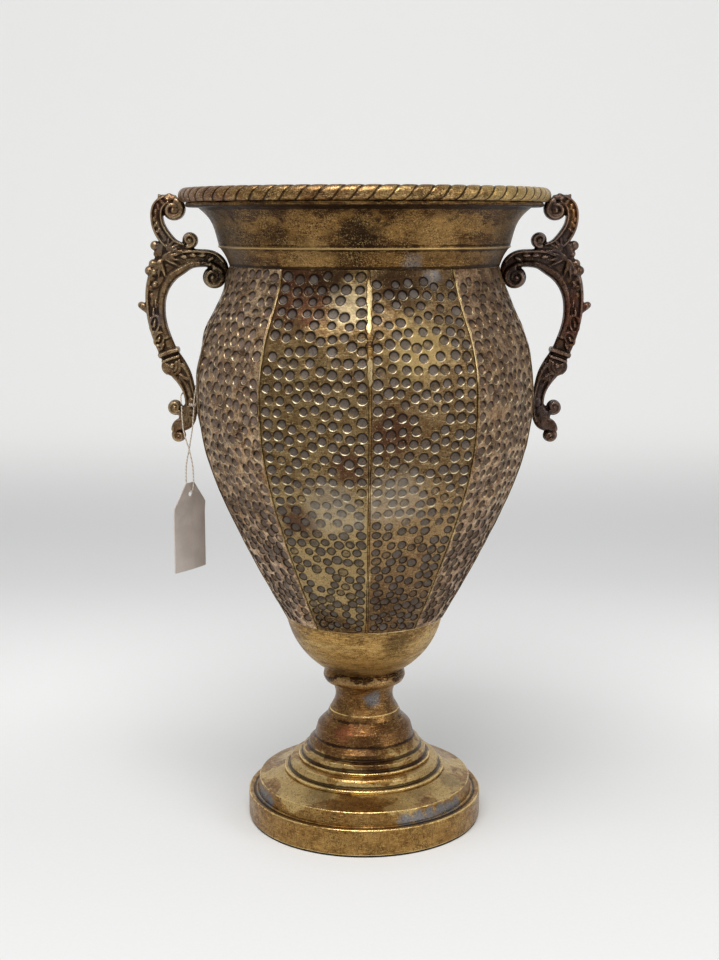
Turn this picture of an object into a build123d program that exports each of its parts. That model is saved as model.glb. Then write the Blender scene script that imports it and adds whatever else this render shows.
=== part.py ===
"""Antique brass urn vase with two scroll handles and a blank swing tag.

Ten hammered panels stand between a spun bowl and a flaring spun neck. A turned stem and a stepped foot carry them,
pulled together by one tie rod. Two cast handles are screwed on from inside. Millimetres, +Z up, the front looks to -Y,
the handles lie along X, and the origin is the centre of the foot's underside.
"""

from build123d import *
import os
from math import cos, pi, radians, sin, tan

os.makedirs("parts", exist_ok=True)

# ---- driving sizes -------------------------------------------------------------------------------------------------
# Foot, from the floor up.
pad_thickness = 1.2
pad_inset = 0.8            # how far the pad stays inside the plinth's side
pad_width = 7.0
plinth_radius = 80.7
plinth_height = 17.8
plinth_wall = 4.0
plinth_flange = 2.5        # the plate that the dish stands on
plinth_round = 2.4
plinth_opening_radius = 60.0
base_plate_thickness = 2.0
base_plate_clearance = 0.3
dish_height = 14.0
dish_foot_radius = 74.6
dish_edge_radius = 72.6
dish_edge_drop = 4.9       # from the dish's top edge down to its seat for the step
dish_wall = 2.0
dish_round = 1.3
dish_middle_share = 0.55   # where the middle of the dish's slope lies between edge and seat, and how far it has risen
dish_middle_rise = 0.35
step_height = 8.5
step_roll = 1.2
step_roll_radius = 55.6
step_edge_radius = 51.4
step_wall = 10.0
bell_height = 34.5
bell_ring_height = 6.8     # the bell's own heights are measured from its underside
bell_bead_height = 12.0
bell_groove_height = 15.8
bell_shoulder_height = 19.0
bell_roll_radius = 45.8
bell_ring_radius = 42.4
bell_bead_radius = 38.2
bell_shoulder_radius = 33.4
bell_wall = 3.5

# Stem.
barrel_height = 19.5
barrel_foot_radius = 23.9
barrel_waist_radius = 19.8
barrel_waist_height = 10.0
barrel_head_radius = 22.4
collar_height = 10.0
collar_radius = 28.1
collar_seat_radius = 26.0

# Body.
bowl_height = 38.5
bowl_edge_radius = 53.6
bowl_ball_radius = 54.4    # the bowl is part of a ball
bowl_wall = 1.5
panel_count = 10
panel_height = 236.0
panel_wall = 1.2
panel_step = 0.6           # how far the panels' lower edge stands proud of the bowl
seam_gap = 1.6
seam_proud = 0.7
seam_turn = 1.5            # degrees that the front seam sits to the right of the middle
panel_stations = 20        # heights at which a panel's section is drawn
# The belly's outline between bowl and neck: share of the panel height, radius in mid-panel, and how much further
# out the seams stand.
belly_outline = [
    (0.153, 73.0, 1.5),
    (0.322, 91.8, 2.3),
    (0.492, 106.4, 2.7),
    (0.661, 111.3, 2.7),
    (0.814, 105.6, 1.9),
    (0.928, 94.0, 0.8),
]
seam_end_rise = 0.4

# Neck and rim.
neck_height = 41.0
neck_foot_radius = 88.8
neck_rise_hollow = 0.8     # how far the rise to the ridge curves in
neck_ridge_height = 12.4
neck_ridge_radius = 95.4
neck_scotia_height = 19.5
neck_scotia_radius = 97.2
neck_flare_height = 30.0
neck_flare_radius = 101.4
neck_lip_radius = 109.0
neck_roll_past_rope = 0.3  # how far the rolled lip reaches past the rope's centre line
neck_roll_height = 3.4
neck_wall = 1.3
rim_radius = 121.5
rope_radius = 4.8
rope_seat = 0.6            # how much of the rope is flattened where it sits on the neck
rope_strands = 63
rope_groove_radius = 0.55
rope_lay_angle = 42.0      # degrees between a groove and the rope's run

# Fasteners.
rod_radius = 4.0
rod_clearance = 0.2
rod_end = 3.0              # thread showing past each nut
nut_across_flats = 13.0
nut_height = 6.5
washer_radius = 10.0
washer_thickness = 1.6
screw_radius = 2.0
screw_clearance = 0.15
screw_reach = 9.0          # thread inside the handle
screw_head_radius = 3.8
upper_screw_drop = 7.5     # both pairs of handle screws are placed below the neck's foot
lower_screw_drop = 91.0
screw_head_height = 2.4
screw_washer_radius = 5.0
screw_washer_thickness = 0.8
wall_gap = 0.25            # between a handle, or a washer, and the curved wall that it is pulled against

# Handles. Half thicknesses are measured along Y.
stem_half = 4.5
scroll_half = 5.4
ring_half = 6.2
leaf_half = 3.8
rim_gap = 0.3              # between the handle's head and the rope

# Swing tag and its thread, hung from the handle's waist.
thread_diameter = 0.9
thread_front = -6.6        # y of the thread in front of the handle
thread_back = 5.9
wrap_bend = 1.4            # the thread is pulled tight over the handle's edges
thread_cross = 0.6         # half the distance between the strands where they cross
joint_gap = 0.3
knot_radius = 1.2
knot_length = 5.0
tag_width = 32.0
tag_height = 60.0
tag_thickness = 0.8
tag_top_width = 8.0
tag_shoulder_drop = 15.0
tag_hole_radius = 2.0
tag_hole_drop = 7.5
tag_turn = 57.0            # degrees between the card's width and the X axis
tag_outset = 1.6           # how far the thread hangs outside the middle of the handle's waist
swing_drop = 3.0           # the axis about which the tag swings lies this far below the waist
cross_drop = 29.8          # the strands cross, and the card starts, this far below that axis
tag_drop = 52.5
loop_half_width = 3.3

# ---- levels that follow from them ----------------------------------------------------------------------------------
plinth_base = pad_thickness
dish_base = plinth_base + plinth_height
step_base = dish_base + dish_height
bell_base = step_base + step_height
barrel_base = bell_base + bell_height
collar_base = barrel_base + barrel_height
bowl_base = collar_base + collar_height
panel_base = bowl_base + bowl_height
neck_base = panel_base + panel_height
rope_base = neck_base + neck_height
rope_centre_height = rope_base + rope_radius - rope_seat
rope_centre_radius = rim_radius - rope_radius
neck_roll_radius = rope_centre_radius + neck_roll_past_rope
rod_hole_radius = rod_radius + rod_clearance
print("overall height", round(rope_centre_height + rope_radius, 2))


def outline_radius(line, height):
    """Radius of a rising outline at one height."""
    low, high = 0.0, 1.0
    for _ in range(40):
        middle = (low + high) / 2
        if (line @ middle).Z < height:
            low = middle
        else:
            high = middle
    return (line @ low).X


# ---- foot ----------------------------------------------------------------------------------------------------------
pad_radius = plinth_radius - pad_inset
with BuildPart() as base_pad:
    with BuildSketch():
        Circle(pad_radius)
        Circle(pad_radius - pad_width, mode=Mode.SUBTRACT)
    extrude(amount=pad_thickness)

flange_under = dish_base - plinth_flange
plinth_inner_radius = plinth_radius - plinth_wall
with BuildPart() as plinth_ring:
    with BuildSketch(Plane.XZ):
        with BuildLine():
            FilletPolyline(
                (plinth_radius, plinth_base),
                (plinth_radius, dish_base),
                (plinth_opening_radius, dish_base),
                (plinth_opening_radius, flange_under),
                (plinth_inner_radius, flange_under),
                (plinth_inner_radius, plinth_base),
                radius=[1.0, plinth_round, 0, 0, 0, 0],
                close=True,
            )
        make_face()
    revolve(axis=Axis.Z)

plate_under = flange_under - base_plate_thickness
with BuildPart() as base_plate:
    with BuildSketch(Plane.XY.offset(plate_under)):
        Circle(plinth_inner_radius - base_plate_clearance)
        Circle(rod_hole_radius, mode=Mode.SUBTRACT)
    extrude(amount=base_plate_thickness)

dish_edge_height = step_base - dish_edge_drop
dish_seat_radius = step_roll_radius - step_wall
with BuildPart() as foot_dish:
    with BuildSketch(Plane.XZ):
        with BuildLine():
            riser = Line((dish_foot_radius, dish_base), (dish_edge_radius, dish_edge_height - dish_round))
            edge = ThreePointArc(
                riser @ 1,
                (dish_edge_radius - dish_round * (1 - cos(radians(45))), dish_edge_height - dish_round * 0.3),
                (dish_edge_radius - dish_round, dish_edge_height),
            )
            seat_edge = (step_roll_radius + 0.4, step_base)
            slope = ThreePointArc(
                edge @ 1,
                (
                    (edge @ 1).X + ((seat_edge[0] - (edge @ 1).X) * dish_middle_share),
                    dish_edge_height + dish_edge_drop * dish_middle_rise,
                ),
                seat_edge,
            )
            seat = Line(seat_edge, (dish_seat_radius, step_base))
            bore = Line(seat @ 1, (dish_seat_radius, step_base - dish_wall))
            under = Line(bore @ 1, (step_roll_radius, step_base - dish_wall))
            inner_slope = Line(under @ 1, (dish_edge_radius - 2 * dish_wall, dish_edge_height - dish_wall))
            inner_riser = Line(inner_slope @ 1, (dish_foot_radius - 2 * dish_wall, dish_base))
            foot = Line(inner_riser @ 1, riser @ 0)
        make_face()
    revolve(axis=Axis.Z)

step_seat_radius = bell_roll_radius - bell_wall - 2.0
with BuildPart() as foot_step:
    with BuildSketch(Plane.XZ):
        with BuildLine():
            FilletPolyline(
                (step_roll_radius, step_base),
                (step_roll_radius, step_base + 2 * step_roll),
                (step_edge_radius + 0.6, step_base + 2 * step_roll),
                (step_edge_radius, bell_base - step_roll),
                (step_edge_radius - 2.0, bell_base - 0.3),
                (bell_roll_radius + 1.0, bell_base),
                (step_seat_radius, bell_base),
                (step_seat_radius, step_base),
                radius=[0.9, step_roll, 1.0, 1.2, 0.8, 0.5, 0, 0],
                close=True,
            )
        make_face()
    revolve(axis=Axis.Z)

# The bell: ring, bead, shoulder and the rise to the barrel, hollow below like a spun piece.
ring_height = bell_base + bell_ring_height
bead_height = bell_base + bell_bead_height
groove_height = bell_base + bell_groove_height
shoulder_height = bell_base + bell_shoulder_height
with BuildPart() as foot_bell:
    with BuildSketch(Plane.XZ):
        with BuildLine():
            FilletPolyline(
                (step_seat_radius + 0.3, bell_base),
                (bell_roll_radius, bell_base),
                (bell_roll_radius, bell_base + 2 * step_roll),
                (bell_ring_radius + 0.5, bell_base + 2 * step_roll),
                (bell_ring_radius, ring_height),
                (bell_bead_radius + 0.6, ring_height + 1.6),
                (bell_bead_radius, bead_height),
                (bell_shoulder_radius + 0.9, groove_height),
                (bell_shoulder_radius + 0.6, shoulder_height),
                (bell_shoulder_radius - 5.2, shoulder_height + 8.8),
                (barrel_foot_radius, barrel_base),
                (rod_hole_radius, barrel_base),
                (rod_hole_radius, barrel_base - bell_wall),
                (barrel_foot_radius - bell_wall, barrel_base - bell_wall),
                (bell_shoulder_radius - bell_wall, shoulder_height - bell_wall),
                (step_seat_radius + 0.3, ring_height - bell_wall),
                radius=[0, 0.9, step_roll, 1.0, 1.4, 1.2, 1.6, 1.6, 2.4, 6.0, 0, 0, 0, 2.0, 2.0, 0],
                close=True,
            )
        make_face()
    revolve(axis=Axis.Z)

# ---- stem ----------------------------------------------------------------------------------------------------------
waist_height = barrel_base + barrel_waist_height
with BuildPart() as stem_barrel:
    with BuildSketch(Plane.XZ):
        with BuildLine():
            side = Spline(
                (barrel_foot_radius, barrel_base),
                (barrel_waist_radius, waist_height),
                (barrel_head_radius, collar_base),
            )
            Polyline(side @ 1, (rod_hole_radius, collar_base), (rod_hole_radius, barrel_base), side @ 0)
        make_face()
    revolve(axis=Axis.Z)

with BuildPart() as stem_collar:
    with BuildSketch(Plane.XZ):
        with BuildLine():
            bead = ThreePointArc(
                (barrel_head_radius, collar_base),
                (collar_radius, collar_base + 0.45 * collar_height),
                (collar_seat_radius, bowl_base),
            )
            Polyline(bead @ 1, (rod_hole_radius, bowl_base), (rod_hole_radius, collar_base), bead @ 0)
        make_face()
    revolve(axis=Axis.Z)

# ---- bowl ----------------------------------------------------------------------------------------------------------
bowl_centre_height = panel_base + (bowl_ball_radius**2 - bowl_edge_radius**2) ** 0.5


def ball_radius_at(ball, height):
    """Radius of the bowl's ball at one height."""
    return (ball**2 - (bowl_centre_height - height) ** 2) ** 0.5


bowl_inner_ball = bowl_ball_radius - bowl_wall
bowl_floor = bowl_base + bowl_wall
bowl_middle = bowl_base + 0.4 * bowl_height
with BuildPart() as lower_bowl:
    with BuildSketch(Plane.XZ):
        with BuildLine():
            outside = ThreePointArc(
                (ball_radius_at(bowl_ball_radius, bowl_base), bowl_base),
                (ball_radius_at(bowl_ball_radius, bowl_middle), bowl_middle),
                (bowl_edge_radius, panel_base),
            )
            inside = ThreePointArc(
                (ball_radius_at(bowl_inner_ball, bowl_floor), bowl_floor),
                (ball_radius_at(bowl_inner_ball, bowl_middle), bowl_middle),
                (ball_radius_at(bowl_inner_ball, panel_base), panel_base),
            )
            Line(outside @ 1, inside @ 1)
            Polyline(inside @ 0, (rod_hole_radius, bowl_floor), (rod_hole_radius, bowl_base), outside @ 0)
        make_face()
    revolve(axis=Axis.Z)

# ---- hammered panels and the strips between them --------------------------------------------------------------------
panel_points = [(bowl_edge_radius + panel_step, panel_base)]
seam_points = [(bowl_edge_radius + panel_step + seam_end_rise, panel_base)]
for share, radius, rise in belly_outline:
    panel_points.append((radius, panel_base + share * panel_height))
    seam_points.append((radius + rise, panel_base + share * panel_height))
panel_points.append((neck_foot_radius, neck_base))
seam_points.append((neck_foot_radius + seam_end_rise, neck_base))
panel_line = Spline(*[(r, 0, z) for r, z in panel_points])
seam_line = Spline(*[(r, 0, z) for r, z in seam_points])

half_panel = 180 / panel_count
# Heights at which screws pass through the wall into the handles.
handle_screw_heights = [neck_base - lower_screw_drop, neck_base - upper_screw_drop]
screw_hole_radius = screw_radius + screw_clearance
outward = (Align.CENTER, Align.CENTER, Align.MIN)
inward = (Align.CENTER, Align.CENTER, Align.MAX)


def wall_plane(side, height):
    """Plane on the outside of the wall at one handle, its Z axis pointing out square to the wall."""
    below = outline_radius(panel_line, height - 1)
    above = outline_radius(panel_line, height + 1)
    return Plane(origin=(side * (below + above) / 2, 0, height), z_dir=(side * 2, 0, below - above))


def turned_plane(angle, height):
    """Level plane whose X axis points out at an angle round the vase."""
    return Plane(origin=(0, 0, height), x_dir=(cos(radians(angle)), sin(radians(angle)), 0), z_dir=(0, 0, 1))


def side_plane(angle, side):
    """Upright plane along a seam, half a seam gap inside the panel that lies on that side of it."""
    normal = Vector(-side * sin(radians(angle)), side * cos(radians(angle)), 0)
    return Plane(origin=normal * (seam_gap / 2), z_dir=normal)


def seam_corner(radius, side):
    """Point on the seam at one side of a panel whose middle lies on the X axis."""
    return (radius * cos(radians(half_panel)), side * radius * sin(radians(half_panel)))


def make_panel(angle):
    """One gore: a thin curved band drawn at several heights and lofted, its edges cut back beside both seams."""
    with BuildPart() as panel:
        for station in range(panel_stations + 1):
            height = panel_base + panel_height * station / panel_stations
            middle = outline_radius(panel_line, height)
            corner = outline_radius(seam_line, height)
            with BuildSketch(turned_plane(angle, height)):
                with BuildLine():
                    outer = ThreePointArc(seam_corner(corner, -1), (middle, 0), seam_corner(corner, 1))
                    inner = ThreePointArc(
                        seam_corner(corner - panel_wall, -1),
                        (middle - panel_wall, 0),
                        seam_corner(corner - panel_wall, 1),
                    )
                    Line(outer @ 0, inner @ 0)
                    Line(outer @ 1, inner @ 1)
                make_face()
        loft()
        split(bisect_by=side_plane(angle - half_panel, 1), keep=Keep.TOP)
        split(bisect_by=side_plane(angle + half_panel, -1), keep=Keep.TOP)
        if abs(sin(radians(angle))) < sin(radians(half_panel)):
            side = 1 if cos(radians(angle)) > 0 else -1
            for screw_height in handle_screw_heights:
                with Locations(wall_plane(side, screw_height)):
                    Cylinder(screw_hole_radius, 6 * panel_wall, mode=Mode.SUBTRACT)
    return panel


def make_seam_strip(angle):
    """Upright strip that fills the gap between two panels and stands a little proud of them."""
    with BuildPart() as strip:
        out = (cos(radians(angle)), sin(radians(angle)), 0)
        across = (sin(radians(angle)), -cos(radians(angle)), 0)
        with BuildSketch(Plane(origin=(0, 0, 0), x_dir=out, z_dir=across)):
            with BuildLine():
                proud = Spline(*[(r + seam_proud, z) for r, z in seam_points])
                root = Spline(*[(r - panel_wall, z) for r, z in seam_points])
                Line(proud @ 0, root @ 0)
                Line(proud @ 1, root @ 1)
            make_face()
        extrude(amount=seam_gap / 2, both=True)
    return strip


front_angle = -90          # the front looks to -Y
front_seam = front_angle + seam_turn
for number in range(panel_count):
    seam_angle = front_seam + 2 * half_panel * number
    panel = make_panel(seam_angle + half_panel)
    panel.part.label = f"body_panel_{number + 1:02d}"
    export_step(panel.part, f"parts/{panel.part.label}.step")
    strip = make_seam_strip(seam_angle)
    strip.part.label = f"seam_strip_{number + 1:02d}"
    export_step(strip.part, f"parts/{strip.part.label}.step")

# ---- neck and rope rim ---------------------------------------------------------------------------------------------
ridge = (neck_ridge_radius, neck_base + neck_ridge_height)
rise_middle = ((neck_foot_radius + neck_ridge_radius) / 2 - neck_rise_hollow, neck_base + neck_ridge_height / 2)
scotia = (neck_scotia_radius, neck_base + neck_scotia_height)
flare = (neck_flare_radius, neck_base + neck_flare_height)
lip = (neck_lip_radius, rope_base - neck_roll_height)
roll_middle = (neck_roll_radius, rope_base - neck_roll_height / 2)
with BuildPart() as neck:
    with BuildSketch(Plane.XZ):
        with BuildLine():
            rise = Spline((neck_foot_radius, neck_base), rise_middle, ridge)
            throat = Spline(ridge, scotia, flare, lip)
            roll_under = Line(lip, (neck_roll_radius - neck_roll_height / 2, rope_base - neck_roll_height))
            roll = ThreePointArc(roll_under @ 1, roll_middle, (neck_roll_radius - neck_roll_height / 2, rope_base))
            inner_throat = Spline(
                (ridge[0] - neck_wall, ridge[1]),
                (scotia[0] - neck_wall, scotia[1]),
                (flare[0] - neck_wall, flare[1] + neck_wall),
                (neck_lip_radius - neck_wall, rope_base),
            )
            inner_rise = Line((neck_foot_radius - neck_wall, neck_base), inner_throat @ 0)
            Line(roll @ 1, inner_throat @ 1)
            Line(rise @ 0, inner_rise @ 0)
        make_face()
    revolve(axis=Axis.Z)

with BuildPart() as rim_rope:
    with BuildSketch(Plane.XZ):
        with Locations((rope_centre_radius, rope_centre_height)):
            Circle(rope_radius)
            with Locations((0, -rope_radius + rope_seat / 2)):
                Rectangle(2 * rope_radius, rope_seat, mode=Mode.SUBTRACT)
    revolve(axis=Axis.Z)
    with Locations((0, 0, rope_centre_height)):
        with PolarLocations(rope_centre_radius, rope_strands):
            Torus(
                rope_radius + 0.1,
                rope_groove_radius,
                rotation=(90 + 90 - rope_lay_angle, 0, 0),
                mode=Mode.SUBTRACT,
            )

# ---- handles -------------------------------------------------------------------------------------------------------
# A handle is drawn for the +X side in (X, Z). Each scroll is a chain of round spots (x, height, half width), the
# heights measured from the neck's foot.
stem_spots = [(131, 42, 2.8), (136, 37.5, 3.9), (136.2, 31, 4.1), (134.7, 24.5, 4.5), (131, 18.5, 5.2),
              (127, 12.5, 7.0), (129.5, -1, 9.2)]
arch_spots = [(93.2, -8, 3.6), (94.5, -0.5, 4.4), (100.3, 4, 5.6), (108, 4.8, 6.0), (116, 4.2, 6.8),
              (123, 1.5, 8.4), (129.5, -2, 9.2), (135, -9, 8.8), (138, -18.5, 7.5), (138.5, -30, 6.7),
              (137, -40, 6.4), (134.2, -49, 6.4), (130.5, -58, 6.2)]
leg_spots = [(130.5, -58, 6.2), (125.2, -67, 7.2), (120.8, -74, 6.0), (118.1, -80.5, 4.5), (116.0, -89, 4.3),
             (116.4, -97, 4.6), (117.3, -103.4, 4.8)]
tail_spots = [(121.5, -96, 3.6), (125, -103, 4.2), (124.9, -113, 4.8)]
curl_spots = [(115, 16.8, 5.7), (119, 10, 5.0), (124, 6, 5.0)]
ring_spots = [(125.6, -57.1, 2.7), (135.3, -59.7, 2.7)]
spike_spots = [(143, -26.8, 4.2), (149.6, -25.9, 1.0)]
crown_spots = [(128, 41.5, 3.6), (133.8, 44.8, 1.9)]
volutes = [(125.3, 36.6, 8.3), (99.6, -7.7, 8.7), (126.9, -93.8, 5.4)]
leaves = [(139.4, -5.7, 4.8), (140.7, -15.3, 4.5), (136.3, 9.6, 3.2)]
seat_pads = [(115.9, -91, 4.9)]


def draw_chain(spots):
    """Adds the outline round a chain of spots to the open sketch."""
    for first, second in zip(spots, spots[1:]):
        rounds = [Edge.make_circle(half, Plane((x, neck_base + z, 0))) for x, z, half in (first, second)]
        make_hull(rounds)


def draw_spots(spots):
    """Adds single round spots to the open sketch."""
    for x, z, half in spots:
        with Locations((x, neck_base + z)):
            Circle(half)


def make_handle(side):
    """One cast handle: scrolls of several thicknesses, cut to clear the wall and the rope."""
    with BuildPart() as handle:
        with BuildSketch(Plane.XZ):
            draw_chain(stem_spots)
            draw_chain(arch_spots)
            draw_chain(leg_spots)
            draw_chain(tail_spots)
            draw_chain(curl_spots)
            draw_spots(seat_pads)
        extrude(amount=stem_half, both=True)
        with BuildSketch(Plane.XZ):
            draw_spots(volutes)
            draw_spots(curl_spots[:1])
        extrude(amount=scroll_half, both=True)
        with BuildSketch(Plane.XZ):
            draw_chain(ring_spots)
        extrude(amount=ring_half, both=True)
        with BuildSketch(Plane.XZ):
            draw_chain(spike_spots)
            draw_chain(crown_spots)
            draw_spots(leaves)
        extrude(amount=leaf_half, both=True)
        # Room for the wall of the body and the neck.
        with BuildSketch(Plane.XZ):
            with BuildLine():
                wall = Spline(*[(r + wall_gap, z) for r, z in panel_points])
                throat_wall = Spline(
                    wall @ 1,
                    (rise_middle[0] + wall_gap, rise_middle[1]),
                    (ridge[0] + wall_gap, ridge[1]),
                )
                Polyline(throat_wall @ 1, (0, ridge[1]), (0, panel_base), wall @ 0)
            make_face()
        extrude(amount=2 * ring_half, both=True, mode=Mode.SUBTRACT)
        # Room for the rope and the neck's rolled lip.
        with BuildSketch(Plane.XZ):
            with Locations((rope_centre_radius, rope_centre_height)):
                Circle(rope_radius + rim_gap)
            with Locations((neck_roll_radius + rim_gap, rope_base - neck_roll_height - rim_gap)):
                Rectangle(4 * rope_radius, 4 * rope_radius, align=(Align.MAX, Align.MIN))
        extrude(amount=2 * ring_half, both=True, mode=Mode.SUBTRACT)
        for screw_height in handle_screw_heights:
            with Locations(wall_plane(1, screw_height).offset(-screw_radius)):
                Cylinder(screw_hole_radius, screw_radius + screw_reach + 1, align=outward, mode=Mode.SUBTRACT)
        if side < 0:
            mirror(about=Plane.YZ, mode=Mode.REPLACE)
    return handle


handle_right = make_handle(1)
handle_left = make_handle(-1)

# ---- fasteners -----------------------------------------------------------------------------------------------------
# Four identical handle screws with their washers, heads inside the body.
washer_face = -panel_wall - wall_gap
head_face = washer_face - screw_washer_thickness
with BuildPart() as handle_washers:
    for side in (-1, 1):
        for screw_height in handle_screw_heights:
            with Locations(wall_plane(side, screw_height).offset(washer_face)):
                Cylinder(screw_washer_radius, screw_washer_thickness, align=inward)
                Cylinder(screw_hole_radius, screw_washer_thickness, align=inward, mode=Mode.SUBTRACT)

with BuildPart() as handle_screws:
    for side in (-1, 1):
        for screw_height in handle_screw_heights:
            with Locations(wall_plane(side, screw_height).offset(head_face)):
                Cylinder(screw_radius, screw_reach - head_face, align=outward)
                Cylinder(screw_head_radius, screw_head_height, align=inward)

# The tie rod runs from under the base plate to the inside of the bowl.
lower_washer_base = plate_under - washer_thickness
lower_nut_base = lower_washer_base - nut_height
upper_nut_base = bowl_floor + washer_thickness
rod_base = lower_nut_base - rod_end
rod_top = upper_nut_base + nut_height + rod_end
with BuildPart() as tie_rod:
    with BuildSketch(Plane.XY.offset(rod_base)):
        Circle(rod_radius)
    extrude(amount=rod_top - rod_base)
    chamfer(tie_rod.edges().filter_by(GeomType.CIRCLE), length=0.8)

with BuildPart() as tie_nuts:
    for nut_base in (lower_nut_base, upper_nut_base):
        with BuildSketch(Plane.XY.offset(nut_base)):
            RegularPolygon(nut_across_flats / 2, 6, major_radius=False)
            Circle(rod_radius, mode=Mode.SUBTRACT)
        extrude(amount=nut_height)

with BuildPart() as tie_washers:
    for washer_base in (lower_washer_base, bowl_floor):
        with BuildSketch(Plane.XY.offset(washer_base)):
            Circle(washer_radius)
            Circle(rod_hole_radius, mode=Mode.SUBTRACT)
        extrude(amount=washer_thickness)

# ---- swing tag and thread ------------------------------------------------------------------------------------------
card_along = Vector(cos(radians(tag_turn)), sin(radians(tag_turn)), 0)
card_out = Vector(sin(radians(tag_turn)), -cos(radians(tag_turn)), 0)
waist_x, waist_level, _ = leg_spots[4]
tag_x = -waist_x - tag_outset
swing_height = neck_base + waist_level - swing_drop
cross_height = swing_height - cross_drop
tag_top = swing_height - tag_drop
tag_axis = Vector(tag_x, thread_front, 0)
tag_hole_height = tag_top - tag_hole_drop

with BuildPart() as swing_tag:
    with BuildSketch(Plane(origin=tag_axis + Vector(0, 0, tag_top), x_dir=card_along, z_dir=card_out)):
        with BuildLine():
            Polyline(
                (-tag_top_width / 2, 0),
                (-tag_width / 2, -tag_shoulder_drop),
                (-tag_width / 2, -tag_height),
                (tag_width / 2, -tag_height),
                (tag_width / 2, -tag_shoulder_drop),
                (tag_top_width / 2, 0),
                close=True,
            )
        make_face()
        with Locations((0, -tag_hole_drop)):
            Circle(tag_hole_radius, mode=Mode.SUBTRACT)
    extrude(amount=tag_thickness / 2, both=True)

# The thread goes round the waist, and its two strands hang down to where they cross.
front = thread_front
outer_x = tag_x - 4.5
inner_x = tag_x + 3.7
wrap_points = [
    (outer_x, front, swing_height + 0.6),
    (outer_x - 0.6, front, swing_height + 5.6),
    (outer_x - 0.5, thread_back, swing_height + 6.8),
    (inner_x + 1.6, thread_back, swing_height + 12.2),
    (inner_x + 1.7, front, swing_height + 12.0),
    (inner_x, front, swing_height + knot_radius),
]
left_points = [
    (outer_x, front, swing_height - 0.6),
    (outer_x + 0.2, front - 0.1, swing_height - 11.6),
    (outer_x + 1.6, front - 0.4, swing_height - 21.0),
    (tag_x, front - thread_cross, cross_height + joint_gap),
]
right_points = [
    (inner_x, front, swing_height - knot_radius - joint_gap),
    (inner_x - 0.6, front + 0.1, swing_height - 11.0),
    (inner_x - 2.0, front + 0.3, swing_height - 20.5),
    (tag_x, front + thread_cross, cross_height + joint_gap),
]
loop_bottom = tag_hole_height + tag_hole_radius - thread_diameter / 2 - joint_gap


def loop_point(out, height):
    """Point beside the tag's axis, on the line square to the card."""
    return tag_axis + card_out * out + Vector(0, 0, height)


loop_points = [
    tag_axis + Vector(0, -thread_cross, cross_height),
    loop_point(loop_half_width - 0.6, cross_height - 9.0),
    loop_point(loop_half_width, cross_height - 18.5),
    loop_point(loop_half_width - 0.3, loop_bottom),
    loop_point(-loop_half_width + 0.3, loop_bottom),
    loop_point(-loop_half_width, cross_height - 18.0),
    loop_point(-loop_half_width + 0.7, cross_height - 8.5),
    tag_axis + Vector(0, thread_cross, cross_height),
]


def widest_bends(points):
    """Largest arc radius that each corner of a route has room for."""
    points = [Vector(*p) if isinstance(p, tuple) else p for p in points]
    bends = []
    for before, here, after in zip(points, points[1:], points[2:]):
        turn = radians((here - before).get_angle(after - here))
        shorter = min((here - before).length, (after - here).length)
        bends.append(0.45 * shorter / tan(turn / 2))
    return bends


def make_thread(points, bends):
    """Round thread along straight runs joined by tangent arcs."""
    with BuildPart() as thread:
        with BuildLine():
            route = FilletPolyline(*points, radius=bends)
        with BuildSketch(Plane(origin=route @ 0, z_dir=route % 0)):
            Circle(thread_diameter / 2)
        sweep(path=route)
    expected = pi * (thread_diameter / 2) ** 2 * route.length
    print("bends", [round(bend, 1) for bend in bends], "length", round(route.length, 1),
          "volume ratio", round(thread.part.volume / expected, 4))
    return thread


string_wrap = make_thread(wrap_points, [wrap_bend] * 4)
string_left = make_thread(left_points, widest_bends(left_points))
string_right = make_thread(right_points, widest_bends(right_points))
string_loop = make_thread(loop_points, widest_bends(loop_points))

# The knot lies along the axis about which the tag swings.
with BuildPart() as string_knot:
    with Locations((inner_x - knot_length / 4, front, swing_height)):
        Cylinder(knot_radius, knot_length, rotation=(0, 90, 0))

named_parts = {
    "base_pad": base_pad,
    "plinth_ring": plinth_ring,
    "base_plate": base_plate,
    "foot_dish": foot_dish,
    "foot_step": foot_step,
    "foot_bell": foot_bell,
    "stem_barrel": stem_barrel,
    "stem_collar": stem_collar,
    "lower_bowl": lower_bowl,
    "neck": neck,
    "rim_rope": rim_rope,
    "handle_right": handle_right,
    "handle_left": handle_left,
    "handle_screws": handle_screws,
    "handle_washers": handle_washers,
    "tie_rod": tie_rod,
    "tie_nuts": tie_nuts,
    "tie_washers": tie_washers,
    "swing_tag": swing_tag,
    "string_wrap": string_wrap,
    "string_left": string_left,
    "string_right": string_right,
    "string_loop": string_loop,
    "string_knot": string_knot,
}
for name, piece in named_parts.items():
    piece.part.label = name
    export_step(piece.part, f"parts/{name}.step")
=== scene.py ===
# %% [markdown]
# # An antique brass urn vase
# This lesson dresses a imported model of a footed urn: ten hammered panels between a spun bowl and a flaring
# neck, a rope rim, a turned foot, two cast scroll handles and a blank swing tag on a thread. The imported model
# stays where it is. Each visible piece is rebuilt here with the detail that the plain solids leave out, in
# the same frame, in metres, with the front looking to -Y.

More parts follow.
